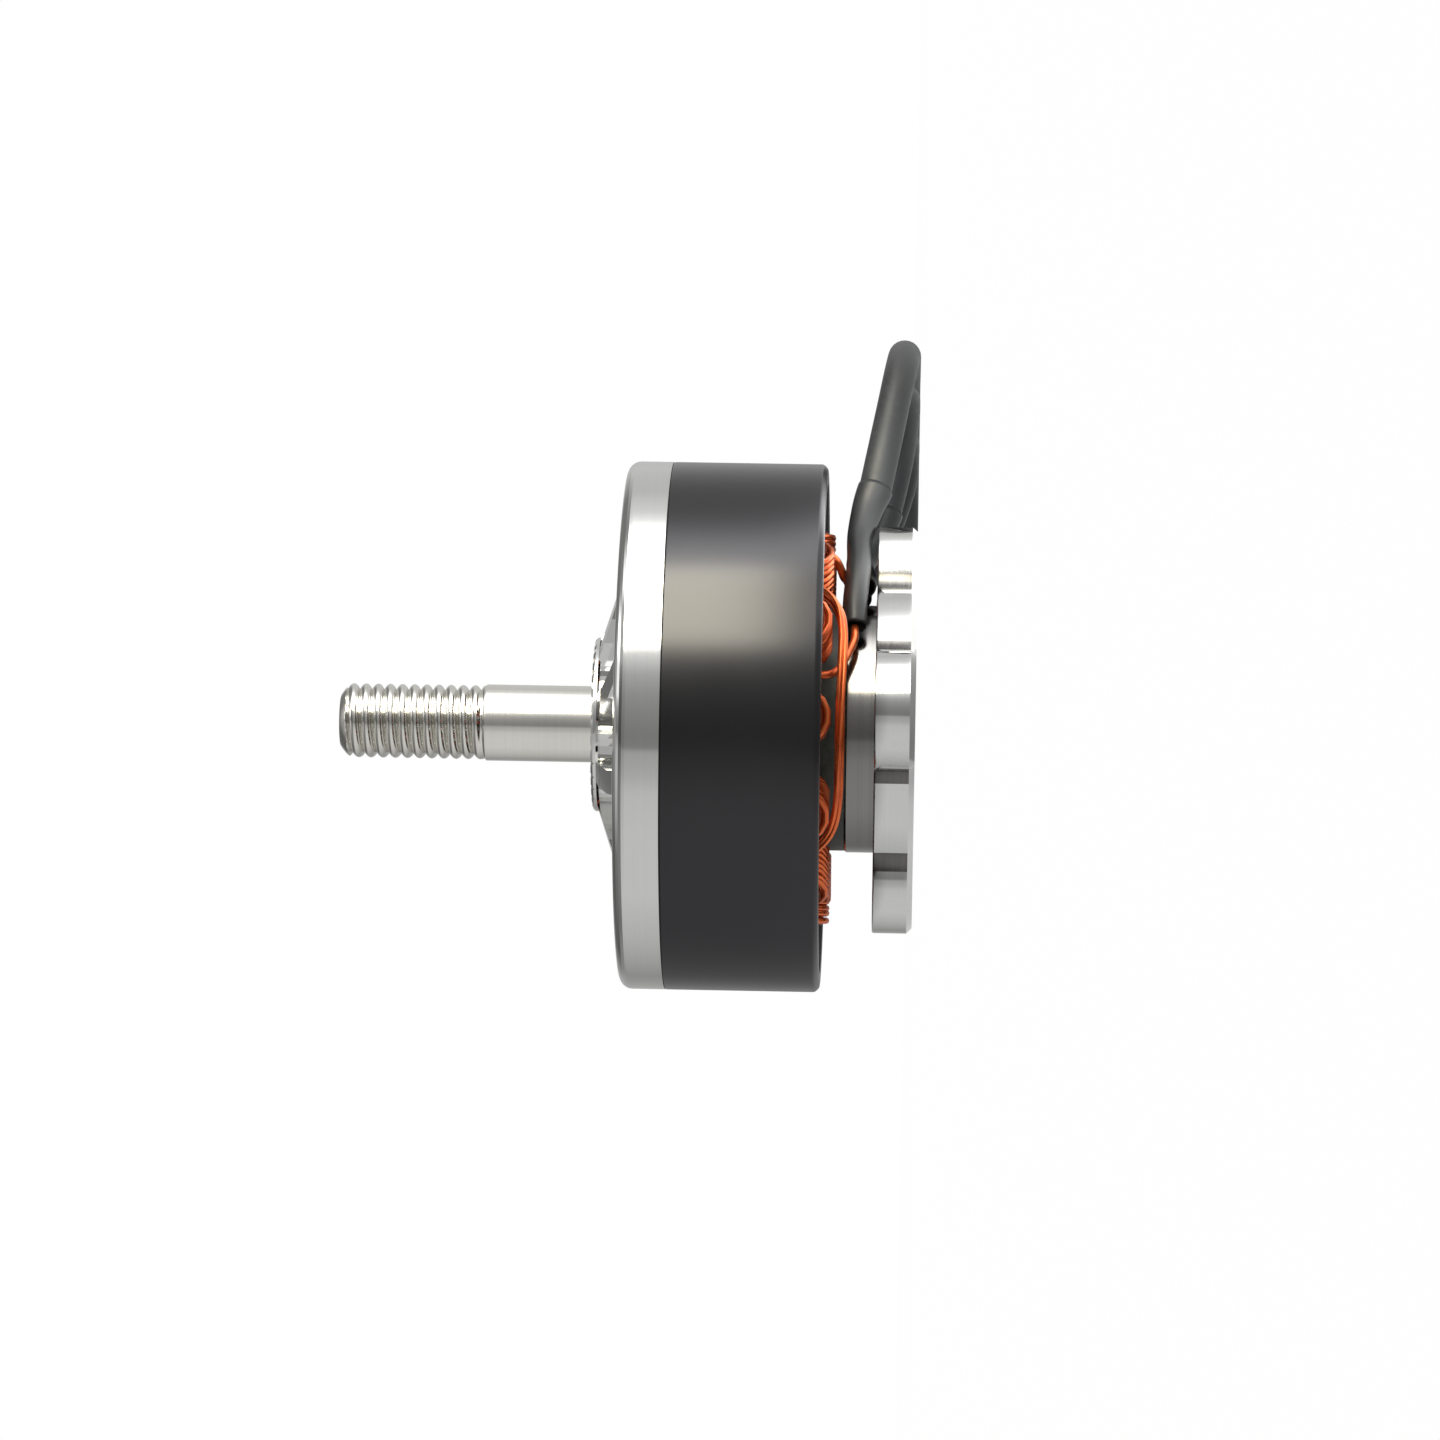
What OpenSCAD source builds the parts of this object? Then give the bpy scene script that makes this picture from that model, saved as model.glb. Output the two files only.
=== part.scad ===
// Outrunner brushless drone motor, in millimetres.
// The origin is the centre of the mounting face, and the shaft points up along Z.

/* [Shaft] */
// Diameter of the shaft, shared by the bearings and the bell hub
shaft_d = 5; // [4:0.1:5.4]
// Outer diameter of the thread
thread_d = 4.86; // [3.8:0.01:4.9]
// Length of the shaft above the propeller seat
shaft_out = 16.7; // [13:0.1:24]
// Length of the threaded end
thread_l = 9.3; // [5:0.1:11]
// Pitch of the thread
thread_pitch = 0.8; // [0.5:0.05:1]
// Depth of the thread
thread_depth = 0.45; // [0.25:0.05:0.5]
// Depth of the relief groove round the shaft at the propeller seat
relief_depth = 0.2; // [0.18:0.01:0.3]
// Width of the relief groove
relief_w = 0.5; // [0.4:0.05:0.8]
// Chamfer at both ends of the shaft
shaft_chamfer = 0.5; // [0.1:0.05:0.6]
// Depth of the groove for the retaining clip
clip_groove_depth = 0.5; // [0.3:0.05:0.7]
// Length of the shaft below the retaining clip
shaft_foot = 0.45; // [0.3:0.05:0.6]
// Thickness of the retaining clip
clip_t = 0.45; // [0.3:0.05:0.5]
// Width of the clip's ring
clip_w = 1.5; // [1:0.1:1.8]
// Width of the clip's opening
clip_gap = 3.2; // [2:0.1:3.6]

/* [Mounting base] */
// Thickness of the flange
flange_h = 2.6; // [2:0.1:4]
// Radius of the round plate between the screw bosses
flange_r = 9.8; // [9:0.1:11]
// Radius of each screw boss
boss_r = 3.9; // [2.8:0.1:4.2]
// Diameter of the circle through the mounting screws
bolt_circle_d = 19; // [18.6:0.1:22]
// Number of mounting screws
bolt_count = 4; // [3:1:5]
// Turn of the first screw from the X axis in degrees
boss_turn = 7.5; // [0:0.5:20]
// Minor diameter of the tapped mounting holes
screw_hole_d = 2.5; // [1.6:0.1:3]
// Radius of the fillets between plate and bosses
web_fillet_r = 1.4; // [0.4:0.1:1.8]
// Break of the sharp edges
edge_break = 0.15; // [0.05:0.05:0.4]
// Radius of the neck above the flange
neck_r = 8.1; // [7.6:0.1:8.2]
// Height of the neck
neck_h = 1.9; // [1.8:0.1:3]
// Radius of the collar that the stator stands on
collar_r = 7; // [6.6:0.1:7.4]
// Height of the collar
collar_h = 3; // [2.6:0.1:3.4]
// Radius of the bearing tube
tube_r = 6.2; // [5.9:0.1:6.5]
// Radius of the bore between the bearings
spacer_bore_r = 4.3; // [3.6:0.1:4.6]

/* [Stator] */
// Outer diameter of the stator
stator_d = 28; // [27:0.1:30]
// Height of the lamination stack
stack_h = 7; // [6:0.1:10]
// Number of teeth, a multiple of three
tooth_count = 12; // [9:3:12]
// Turn of the first tooth from the X axis in degrees
stator_turn = 3.5; // [0:0.5:10]
// Width of a tooth
tooth_w = 2; // [1.6:0.1:2.2]
// Width of the slot openings
slot_gap = 1.7; // [1.2:0.1:2.4]
// Radial thickness of the pole shoes
shoe_t = 1; // [0.7:0.1:1.2]
// Outer radius of the yoke
yoke_r = 8.4; // [7.8:0.1:8.6]
// Thickness of the end insulators
insulator_t = 0.4; // [0.3:0.05:0.6]
// Radius of the rear insulator's skirt, which covers the collar
skirt_r = 8; // [7.6:0.1:8.3]

/* [Windings] */
// Diameter of the wire
wire_d = 0.55; // [0.4:0.05:0.6]
// Shown turns on each tooth
coil_turns = 3; // [2:1:3]
// Outer half width of a coil
coil_half_w = 2; // [1.8:0.05:2.1]
// Height of the windings beyond the stack
end_turn_h = 2.2; // [2:0.1:2.4]

/* [Bell] */
// Number of magnets
magnet_count = 14; // [8:2:16]
// Radial gap between stator and magnets
air_gap = 0.3; // [0.3:0.05:0.5]
// Radial thickness of the magnets
magnet_t = 1.65; // [1.2:0.05:2]
// Height of the magnets
magnet_h = 8.8; // [7.5:0.1:9.2]
// Gap between neighbouring magnets
magnet_gap = 0.5; // [0.3:0.1:1]
// Wall of the flux ring
ring_wall = 1.3; // [1:0.05:2]
// Height of the flux ring
ring_h = 10.1; // [9.8:0.1:10.3]
// Chamfer at the open edge of the flux ring
ring_chamfer = 0.35; // [0.1:0.05:0.5]
// Height of the lip that centres the flux ring on the cap
lip_h = 0.5; // [0.3:0.05:0.5]
// Thickness of the cap's front plate
plate_t = 1.9; // [1.6:0.1:2.4]
// Radius of the round shoulder of the cap
shoulder_r = 0.8; // [0.4:0.1:1.2]
// Clearance between the windings and the front plate
plate_clear = 0.4; // [0.3:0.05:0.8]
// Rise of the propeller seat above the front plate
seat_rise = 2; // [1.5:0.1:2.6]
// Radius of the propeller seat
seat_r = 5.7; // [5.4:0.1:6.2]
// Thickness of the seat's disc
seat_t = 0.5; // [0.45:0.05:0.8]
// Number of serrations on the seat
serration_count = 34; // [18:1:36]
// Depth of the serrations
serration_depth = 0.25; // [0.1:0.05:0.35]
// Radius of the hub below the seat
hub_r = 4.6; // [4.2:0.1:4.9]
// Radius at the foot of the hub's cone
cone_r = 9.8; // [8.8:0.1:11]
// Number of spokes
spoke_count = 8; // [5:1:9]
// Width of the spokes
spoke_w = 1.7; // [1.3:0.1:2]
// Turn of a spoke between hub and rim in degrees
spoke_sweep = 28; // [0:1:45]
// Turn of the first spoke from the X axis in degrees
spoke_turn = 8; // [0:1:45]
// Width of the rim outside the windows
rim_w = 2.7; // [2.5:0.1:3.5]
// Radius in the corners of the windows
window_corner_r = 0.7; // [0.4:0.1:0.8]

/* [Bearings] */
// Outer diameter of the bearings
bearing_d = 10; // [9.6:0.1:10.4]
// Width of the bearings
bearing_w = 4; // [3.6:0.1:4.2]
// Wall of the inner ring at its shoulder
inner_ring_t = 0.85; // [0.7:0.05:0.9]
// Wall of the outer ring at its shoulder
outer_ring_t = 0.75; // [0.6:0.05:0.8]
// Diameter of the balls
ball_d = 1.5; // [1.2:0.05:1.6]
// Number of balls in a bearing
ball_count = 8; // [6:1:9]
// Running clearance round the balls
ball_clear = 0.04; // [0.02:0.01:0.06]
// Thickness of the shields
shield_t = 0.15; // [0.1:0.05:0.2]
// Thickness of the shim under the hub
front_shim_t = 0.25; // [0.15:0.05:0.4]
// Thickness of the shim above the clip
rear_shim_t = 0.3; // [0.15:0.05:0.4]

/* [Leads] */
// Diameter of the leads
lead_d = 2.2; // [1.8:0.1:2.2]
// Wall of the heat-shrink sleeves
sleeve_wall = 0.15; // [0.1:0.05:0.2]
// Diameter of the sleeves where the winding wires enter
sleeve_tail_d = 1.6; // [1.4:0.1:1.6]
// Width of the tie
tie_w = 2.5; // [2:0.1:3]
// Thickness of the tie
tie_t = 0.5; // [0.4:0.05:0.6]

/* [Hidden] */
$fn = 96;

// Overrun of every cut past the face that it opens
overrun = 1;
// Clearances: glue film under the magnets, running gap of the shields, seat of shims and clip
glue_t = 0.05;
shield_gap = 0.1;
seat_clear = 0.02;

// Heights along the shaft, from the mounting face upwards
shaft_r = shaft_d / 2;
shaft_foot_z = 0.3;
clip_z = shaft_foot_z + shaft_foot;
rear_shim_z = clip_z + clip_t;
rear_bearing_z = rear_shim_z + rear_shim_t;
neck_z = flange_h + neck_h;
stack_z = neck_z + collar_h;
stack_top = stack_z + stack_h;
stack_mid = stack_z + stack_h / 2;
ring_z = stack_mid - ring_h / 2;
ring_top = ring_z + ring_h;
plate_in_z = stack_top + end_turn_h + plate_clear;
plate_z = plate_in_z + plate_t;
bearing_proud = 0.4;
tube_top = plate_in_z + bearing_proud;
front_bearing_z = tube_top - bearing_w;
hub_z = tube_top + front_shim_t;
seat_z = plate_z + seat_rise;
shaft_top = seat_z + shaft_out;

// Radii of the rotor, from the stator outwards
stator_r = stator_d / 2;
magnet_in_r = stator_r + air_gap;
magnet_out_r = magnet_in_r + magnet_t;
ring_in_r = magnet_out_r + glue_t;
bell_r = ring_in_r + ring_wall;
window_r = bell_r - rim_w;
lip_wall = 0.95;
lip_clear = 0.05;

// Radii of the bearings
bearing_r = bearing_d / 2;
inner_land_r = shaft_r + inner_ring_t;
outer_land_r = bearing_r - outer_ring_t;
ball_pitch_r = (inner_land_r + outer_land_r) / 2;
ball_r = ball_d / 2;
bearing_chamfer = 0.2;
shield_inset = 0.1;
cage_wall_gap = 0.2;
cage_back_t = 0.3;
cage_front_h = 0.2;

// Windings
wire_r = wire_d / 2;
turn_gap_to_core = 0.03;
turn_r = coil_half_w - wire_r;
core_r = turn_r - wire_r - turn_gap_to_core;
coil_in_r = yoke_r + 0.75 * wire_d + 0.4 * shoe_t;
coil_out_r = stator_r - shoe_t - 0.1 * shoe_t;
first_turn_r = coil_in_r + wire_r;
last_turn_r = coil_out_r - wire_r;
turn_pitch = (last_turn_r - first_turn_r) / coil_turns;
coil_low_z = stack_z - end_turn_h + coil_half_w;
coil_high_z = stack_top + end_turn_h - coil_half_w;
tooth_clear = 0.02;
half_turn_rings = 7;
wire_sides = 6;

// Routes of the leads from the ends of their sleeves, in millimetres
LEAD_A = [
    [15.8, 3.2, 2.9], [19.5, 5.6, 2.2], [23.9, 10, 1.4], [25.5, 16, 1.1], [23.9, 22, 1.1],
    [19.5, 26.4, 1.1], [13.5, 28, 1.1], [8.5, 28, 1.7], [3.5, 28, 1.7], [-1.5, 28, 1.1],
    [-4.5, 28.8, 1.1], [-6.7, 31, 1.1], [-7.5, 34, 1.1], [-6.7, 37, 1.1], [-4.5, 39.2, 1.1],
    [-1.5, 40, 1.1], [1.5, 40, 1.1], [7.5, 41.6, 1.1], [11.9, 46, 1.1], [13.5, 52, 1.1],
    [11.9, 58, 1.1], [7.5, 62.4, 1.1], [1.5, 64, 1.1]
];
LEAD_B = [
    [14.6, 7.1, 2.2], [18, 8.2, 1.5], [21.3, 11.5, 1.1], [22.5, 16, 1.1], [21.3, 20.5, 1.1],
    [18, 23.8, 1.1], [13.5, 25, 1.1], [8.5, 25, 1.7], [3.5, 25, 1.7], [-1.5, 25, 1.1],
    [-6, 26.2, 1.1], [-9.3, 29.5, 1.1], [-10.5, 34, 1.1], [-9.3, 38.5, 1.1], [-6, 41.8, 1.1],
    [-1.5, 43, 1.1], [1.5, 43, 1.1], [6, 44.2, 1.1], [9.3, 47.5, 1.1], [10.5, 52, 1.1],
    [9.3, 56.5, 1.1], [6, 59.8, 1.1], [1.5, 61, 1.1], [-2.6, 61, 1.1], [-6.7, 61, 1.1]
];
LEAD_C = [
    [12.4, 9.7, 2.6], [14.6, 10.1, 1.8], [16.8, 11, 1.2], [18.7, 13, 1.1], [19.5, 16, 1.1],
    [18.7, 19, 1.1], [16.5, 21.2, 1.1], [13.5, 22, 1.1], [8.5, 22, 1.7], [3.5, 22, 1.7],
    [-1.1, 22, 1.1], [-7.1, 23.6, 1.1], [-11.5, 28, 1.1], [-13.1, 34, 1.1], [-11.5, 40, 1.1],
    [-7.1, 44.4, 1.1], [-1.1, 46, 1.1], [1.9, 46, 1.1], [4.9, 46.8, 1.1], [7.1, 49, 1.1],
    [7.9, 52, 1.1], [7.1, 55, 1.1], [4.9, 57.2, 1.1], [1.9, 58, 1.1], [-3.3, 58, 1.1],
    [-8.5, 58, 1.1], [-13.6, 58, 1.1]
];
lead_sides = 8;
// Place of the tie on the leads' first row behind the motor
TIE_AT = [6, 25, 1.7];
lead_row_pitch = 3;
tie_clear = 0.1;

// End of a sleeve, just short of the first point of its lead
sleeve_end_gap = 0.25;
function sleeve_end(route) = route[0] - sleeve_end_gap * unit(route[1] - route[0]);

// Routes of the sleeves, from the winding wires to the leads
SLEEVE_A = [
    [6.6, -6.2, 4], [8.2, -5.2, 4], [9.8, -3.8, 3.9], [11.2, -2, 3.8], [12.8, 0.4, 3.8],
    [14.4, 2.2, 3.4], sleeve_end(LEAD_A)
];
SLEEVE_B = [
    [9.3, -1.2, 3.5], [9.4, 0.8, 3.5], [9.9, 3, 3.6], [11, 5, 3.75], [12.8, 6.4, 2.9], sleeve_end(LEAD_B)
];
SLEEVE_C = [
    [8.6, 4.8, 3.8], [9, 6.4, 3.8], [9.8, 8.2, 3.6], [11, 9.2, 3.1], sleeve_end(LEAD_C)
];
// Share of the sleeve's growth from the wires' diameter to the lead's, at each point of its route
GROWTH_A_SHARE = [0, 0, 0, 0.05, 0.1, 0.55, 1];
GROWTH_B_SHARE = [0, 0, 0.1, 0.4, 1, 1];
GROWTH_C_SHARE = [0, 0, 0.2, 0.6, 1];

// Winding wires that run on the rear of the stator, in millimetres
TAIL_A = [[3.4, -10.1, 6.2], [3.5, -9.9, 5.4], [4, -9.2, 4.8], [5, -8, 4.3], [5.8, -7, 4], [6.6, -6.2, 4]];
TAIL_B = [
    [11.2, -3.9, 6.2], [11.1, -3.8, 5.5], [10.6, -3.4, 5.1], [9.7, -2.9, 4.7], [9.4, -2.2, 3.9], [9.3, -1.2, 3.5]
];
TAIL_C = [
    [11.3, 3.8, 6.2], [11.2, 3.7, 5.5], [10.6, 3.5, 5.1], [9.6, 3.4, 4.6], [8.9, 3.9, 4], [8.6, 4.8, 3.8]
];

// Crossover between two slots, three coils apart
cross_start_deg = -41.5;
cross_end_deg = -131.5;
cross_rings = 15;
cross_r = 11.2;
cross_step = 1;
cross_drop = 0.2;

// Vector helpers
function unit(v) = v / norm(v);
function lerp(a, b, s) = a + (b - a) * s;

// Direction of a path at each of its points
function path_dir(p, i) =
    i == 0 ? unit(p[1] - p[0]) :
    i == len(p) - 1 ? unit(p[i] - p[i - 1]) :
    unit(unit(p[i + 1] - p[i]) + unit(p[i] - p[i - 1]));

// Part of vector v square to the direction t, at length one
function square_to(v, t) = unit(v - (v * t) * t);

// Normals carried along a path without twist
function carried_normals(p, i = 0, kept = []) =
    i == len(p) ? kept :
    let (
        t = path_dir(p, i),
        seed = abs(t[2]) < 0.9 ? [0, 0, 1] : [1, 0, 0],
        n = i == 0 ? square_to(seed, t) : square_to(kept[i - 1], t)
    )
    carried_normals(p, i + 1, concat(kept, [n]));

// Least distance between the turns of a wound path, skipping points of the same turn
function least_gap(p, skip, d) =
    min([for (i = [0 : len(p) - 1]) for (j = [i + skip : 1 : len(p) - 1]) norm(p[i] - p[j])]) - d;

// Points on an arc about (cx, cz) from angle a0 to a1 in n steps
function arc(cx, cz, r, a0, a1, n) =
    [for (i = [0 : n]) let (a = lerp(a0, a1, i / n)) [cx + r * cos(a), cz + r * sin(a)]];

// Tube along the points p, with a radius at each point, as one closed surface of triangles
module swept_tube(p, radii, sides) {
    n = carried_normals(p);
    last = len(p) - 1;
    points = [
        for (i = [0 : last])
            let (t = path_dir(p, i), b = cross(t, n[i]))
            for (k = [0 : sides - 1])
                let (a = 360 * (k + 0.5) / sides)
                p[i] + radii[i] * (cos(a) * n[i] + sin(a) * b)
    ];
    walls = [
        for (i = [0 : last - 1]) for (k = [0 : sides - 1])
            let (
                a = i * sides + k,
                b = i * sides + (k + 1) % sides,
                c = b + sides,
                d = a + sides
            )
            each [[a, d, c], [a, c, b]]
    ];
    start_cap = [for (k = [1 : sides - 2]) [0, k, k + 1]];
    end_cap = [for (k = [1 : sides - 2]) [last * sides, last * sides + k + 1, last * sides + k]];
    polyhedron(points, concat(walls, start_cap, end_cap));
}

module wire(p, d, sides) {
    swept_tube(p, [for (i = p) d / 2], sides);
}

module ring(r_in, r_out, h) {
    difference() {
        cylinder(r = r_out, h = h);
        translate([0, 0, -overrun]) cylinder(r = r_in, h = h + 2 * overrun);
    }
}

module around(count, first = 0) {
    for (i = [0 : count - 1]) rotate(first + i * 360 / count) children();
}

// Round plate with chamfered edges
module chamfered_disc(r, h, low, high) {
    rotate_extrude() polygon([[0, 0], [r - low, 0], [r, low], [r, h - high], [r - high, h], [0, h]]);
}

// Base: flange with screw bosses, neck, collar and bearing tube in one piece

// Centre of the fillet between the plate and a boss that lies on the X axis
bolt_r = bolt_circle_d / 2;
web_x = (pow(flange_r + web_fillet_r, 2) - pow(boss_r + web_fillet_r, 2) + pow(bolt_r, 2)) / (2 * bolt_r);
web_y = sqrt(max(0, pow(flange_r + web_fillet_r, 2) - pow(web_x, 2)));
plate_touch_deg = atan2(web_y, web_x);
boss_touch_deg = atan2(web_y, web_x - bolt_r);
boss_steps = 20;
web_steps = 5;
plate_steps = 10;

// One boss of the flange's outline, with its two fillets and the plate's arc after it
BOSS_OUTLINE = concat(
    arc(web_x, -web_y, web_fillet_r, 180 - plate_touch_deg, 180 - boss_touch_deg, web_steps),
    [for (i = [1 : boss_steps - 1])
        let (a = lerp(-boss_touch_deg, boss_touch_deg, i / boss_steps))
        [bolt_r + boss_r * cos(a), boss_r * sin(a)]],
    arc(web_x, web_y, web_fillet_r, 180 + boss_touch_deg, 180 + plate_touch_deg, web_steps),
    [for (i = [1 : plate_steps - 1])
        let (a = lerp(plate_touch_deg, 360 / bolt_count - plate_touch_deg, i / plate_steps))
        flange_r * [cos(a), sin(a)]]
);
function turned(p, a) = [p[0] * cos(a) - p[1] * sin(a), p[0] * sin(a) + p[1] * cos(a)];
function flange_outline() =
    [for (i = [0 : bolt_count - 1]) for (p = BOSS_OUTLINE) turned(p, boss_turn + i * 360 / bolt_count)];

module flange() {
    linear_extrude(height = flange_h) polygon(flange_outline());
}

// Cutters, each revolved in one piece
module screw_hole() {
    hole_r = screw_hole_d / 2;
    translate([bolt_r, 0, 0]) rotate_extrude() polygon([
        [0, -overrun], [hole_r + edge_break + overrun, -overrun], [hole_r, edge_break],
        [hole_r, flange_h + overrun], [0, flange_h + overrun]
    ]);
}

module bearing_bores() rotate_extrude() polygon([
    [0, -overrun], [bearing_r, -overrun], [bearing_r, rear_bearing_z + bearing_w],
    [spacer_bore_r, rear_bearing_z + bearing_w], [spacer_bore_r, front_bearing_z],
    [bearing_r, front_bearing_z], [bearing_r, tube_top + overrun], [0, tube_top + overrun]
]);

module base() color("silver") difference() {
    union() {
        flange();
        rotate_extrude() polygon(concat(
            [[0, flange_h / 2], [neck_r, flange_h / 2]],
            [[neck_r, neck_z - edge_break], [neck_r - edge_break, neck_z], [collar_r, neck_z]],
            [[collar_r, stack_z], [tube_r, stack_z], [tube_r, tube_top - edge_break]],
            [[tube_r - edge_break, tube_top], [0, tube_top]]
        ));
    }
    around(bolt_count, boss_turn) screw_hole();
    bearing_bores();
}

// Stator: lamination stack and the insulators on its two ends

// Outline of yoke and teeth, with a yoke bore and a height of its own
module toothed_ring(bore_r, h) {
    difference() {
        union() {
            ring(bore_r, yoke_r, h);
            ring(stator_r - shoe_t, stator_r, h);
            around(tooth_count, stator_turn)
                translate([yoke_r - shoe_t, -tooth_w / 2, 0])
                    cube([stator_r - yoke_r + shoe_t / 2, tooth_w, h]);
        }
        around(tooth_count, stator_turn + 180 / tooth_count)
            translate([stator_r - 2 * shoe_t, -slot_gap / 2, -overrun])
                cube([3 * shoe_t, slot_gap, h + 2 * overrun]);
    }
}

module stator_core() color("dimgray") translate([0, 0, stack_z]) toothed_ring(tube_r, stack_h);

module front_insulator() color("darkslategray")
    translate([0, 0, stack_top]) toothed_ring(tube_r + seat_clear, insulator_t);

// The skirt reaches from the teeth down round the collar, to the neck
module rear_insulator() color("darkslategray") difference() {
    union() {
        translate([0, 0, stack_z - insulator_t]) toothed_ring(collar_r - overrun, insulator_t);
        translate([0, 0, neck_z + seat_clear])
            ring(collar_r - 2 * overrun, skirt_r, collar_h - seat_clear - insulator_t / 2);
    }
    translate([0, 0, neck_z]) cylinder(r = collar_r + seat_clear, h = collar_h + overrun);
}

// Windings: on each tooth a packed core of inner layers, and the outer layer as turns of one wire

// Ring number j of a coil: up one flank, round the front end, down the other, round the rear end
function coil_point(j) =
    let (
        half = floor(j / half_turn_rings),
        a = 180 * (j % half_turn_rings) / (half_turn_rings - 1),
        side = half % 2 == 0 ? 1 : -1,
        end_z = half % 2 == 0 ? coil_high_z : coil_low_z,
        r = first_turn_r + turn_pitch * j / (2 * half_turn_rings)
    )
    [r, side * turn_r * cos(a), end_z + side * turn_r * sin(a)];

coil_rings = 2 * half_turn_rings * coil_turns;
COIL_PATH = concat(
    [[first_turn_r, turn_r, stack_mid]],
    [for (j = [0 : coil_rings - 1]) coil_point(j)],
    [[last_turn_r, turn_r, stack_mid]]
);
echo(least_gap_between_turns = least_gap(COIL_PATH, 2 * half_turn_rings - 1, wire_d));

// Every third tooth belongs to the same phase
module on_phase_teeth(phase) {
    pitch = 360 / tooth_count;
    for (i = [phase : 3 : tooth_count - 1]) rotate(stator_turn + i * pitch) children();
}

module coil_core() {
    core_l = coil_out_r - coil_in_r;
    tooth_half = tooth_w / 2 + tooth_clear;
    low = stack_z - insulator_t - tooth_clear;
    high = stack_top + insulator_t + tooth_clear;
    difference() {
        translate([coil_in_r, 0, 0]) union() {
            translate([0, 0, coil_low_z]) rotate([0, 90, 0]) cylinder(r = core_r, h = core_l);
            translate([0, 0, coil_high_z]) rotate([0, 90, 0]) cylinder(r = core_r, h = core_l);
            translate([0, -core_r, coil_low_z]) cube([core_l, 2 * core_r, coil_high_z - coil_low_z]);
        }
        translate([coil_in_r - overrun, -tooth_half, low])
            cube([core_l + 2 * overrun, 2 * tooth_half, high - low]);
    }
}

module coil_cores(phase) color("sienna") on_phase_teeth(phase) coil_core();
module coil_turns_of(phase) color("orangered") on_phase_teeth(phase) wire(COIL_PATH, wire_d, wire_sides);

module coil_cores_a() coil_cores(0);
module coil_cores_b() coil_cores(1);
module coil_cores_c() coil_cores(2);
module coil_turns_a() coil_turns_of(0);
module coil_turns_b() coil_turns_of(1);
module coil_turns_c() coil_turns_of(2);

// Crossover wire number k: out of one slot, low over three coils and into another slot
cross_end_z = stack_z - end_turn_h + 2 * wire_d;
cross_run_z = stack_z - end_turn_h - cross_drop - wire_r;
function cross_point(k, s, z) =
    let (a = lerp(cross_start_deg, cross_end_deg, s), r = cross_r + cross_step * k)
    [r * cos(a), r * sin(a), z];
function cross_path(k) = concat(
    [cross_point(k, 0, cross_end_z), cross_point(k, 0, cross_end_z - 1.2 * wire_d)],
    [for (i = [1 : cross_rings - 1])
        let (s = i / cross_rings)
        cross_point(k, s, cross_run_z - cross_drop * sin(180 * s))],
    [cross_point(k, 1, cross_end_z - 1.2 * wire_d), cross_point(k, 1, cross_end_z)]
);

module crossover_wires() color("orangered") for (k = [0, 1]) wire(cross_path(k), wire_d, wire_sides);

module tail_wires() color("orangered") for (p = [TAIL_A, TAIL_B, TAIL_C]) wire(p, wire_d, wire_sides);

// Leads: heat-shrink sleeves over the joints, then each lead in one run to its bare end
sleeve_lead_r = lead_d / 2 + sleeve_wall;
sleeve_tail_r = sleeve_tail_d / 2;

module sleeve(route, growth_share) color("black")
    swept_tube(route, [for (g = growth_share) lerp(sleeve_tail_r, sleeve_lead_r, g)], lead_sides);

module sleeve_a() sleeve(SLEEVE_A, GROWTH_A_SHARE);
module sleeve_b() sleeve(SLEEVE_B, GROWTH_B_SHARE);
module sleeve_c() sleeve(SLEEVE_C, GROWTH_C_SHARE);

module lead(route) color("black") wire(route, lead_d, lead_sides);

module lead_a() lead(LEAD_A);
module lead_b() lead(LEAD_B);
module lead_c() lead(LEAD_C);

// Flat band with round ends, as wide as three leads side by side and a margin all round
module band(margin, w) {
    r = lead_d / 2 + margin;
    rotate([90, 0, 90]) translate([0, 0, -w / 2]) {
        for (side = [-1, 1]) translate([side * lead_row_pitch, 0, 0]) cylinder(r = r, h = w);
        translate([-lead_row_pitch, -r, 0]) cube([2 * lead_row_pitch, 2 * r, w]);
    }
}

module lead_tie() color("dimgray") translate(TIE_AT) difference() {
    band(tie_clear + tie_t, tie_w);
    band(tie_clear, tie_w + 2 * overrun);
}

// Bell: spoked cap, flux ring and magnets

// Half the width of a window at radius r, rounded off near its inner and outer edge
function corner_inset(d) =
    d >= window_corner_r ? 0 :
    window_corner_r - sqrt(pow(window_corner_r, 2) - pow(window_corner_r - d, 2));
function window_half(r) =
    r * PI / spoke_count - spoke_w / 2 - corner_inset(r - hub_r) - corner_inset(window_r - r);
function window_point(r, w) =
    let (a = spoke_sweep * (r - hub_r) / (window_r - hub_r) + (w / r) * 180 / PI)
    [r * cos(a), r * sin(a)];
corner_steps = 4;
flank_steps = 6;
corner_depths = [for (i = [0 : corner_steps]) window_corner_r * (1 - cos(90 * i / corner_steps))];
window_radii = concat(
    [for (d = corner_depths) hub_r + d],
    [for (i = [1 : flank_steps - 1])
        lerp(hub_r + window_corner_r, window_r - window_corner_r, i / flank_steps)],
    [for (i = [corner_steps : -1 : 0]) window_r - corner_depths[i]]
);
edge_steps = 4;
WINDOW = concat(
    [for (r = window_radii) window_point(r, window_half(r))],
    [for (i = [1 : edge_steps - 1])
        window_point(window_r, window_half(window_r) * (1 - 2 * i / edge_steps))],
    [for (i = [len(window_radii) - 1 : -1 : 0]) let (r = window_radii[i]) window_point(r, -window_half(r))]
);

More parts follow.
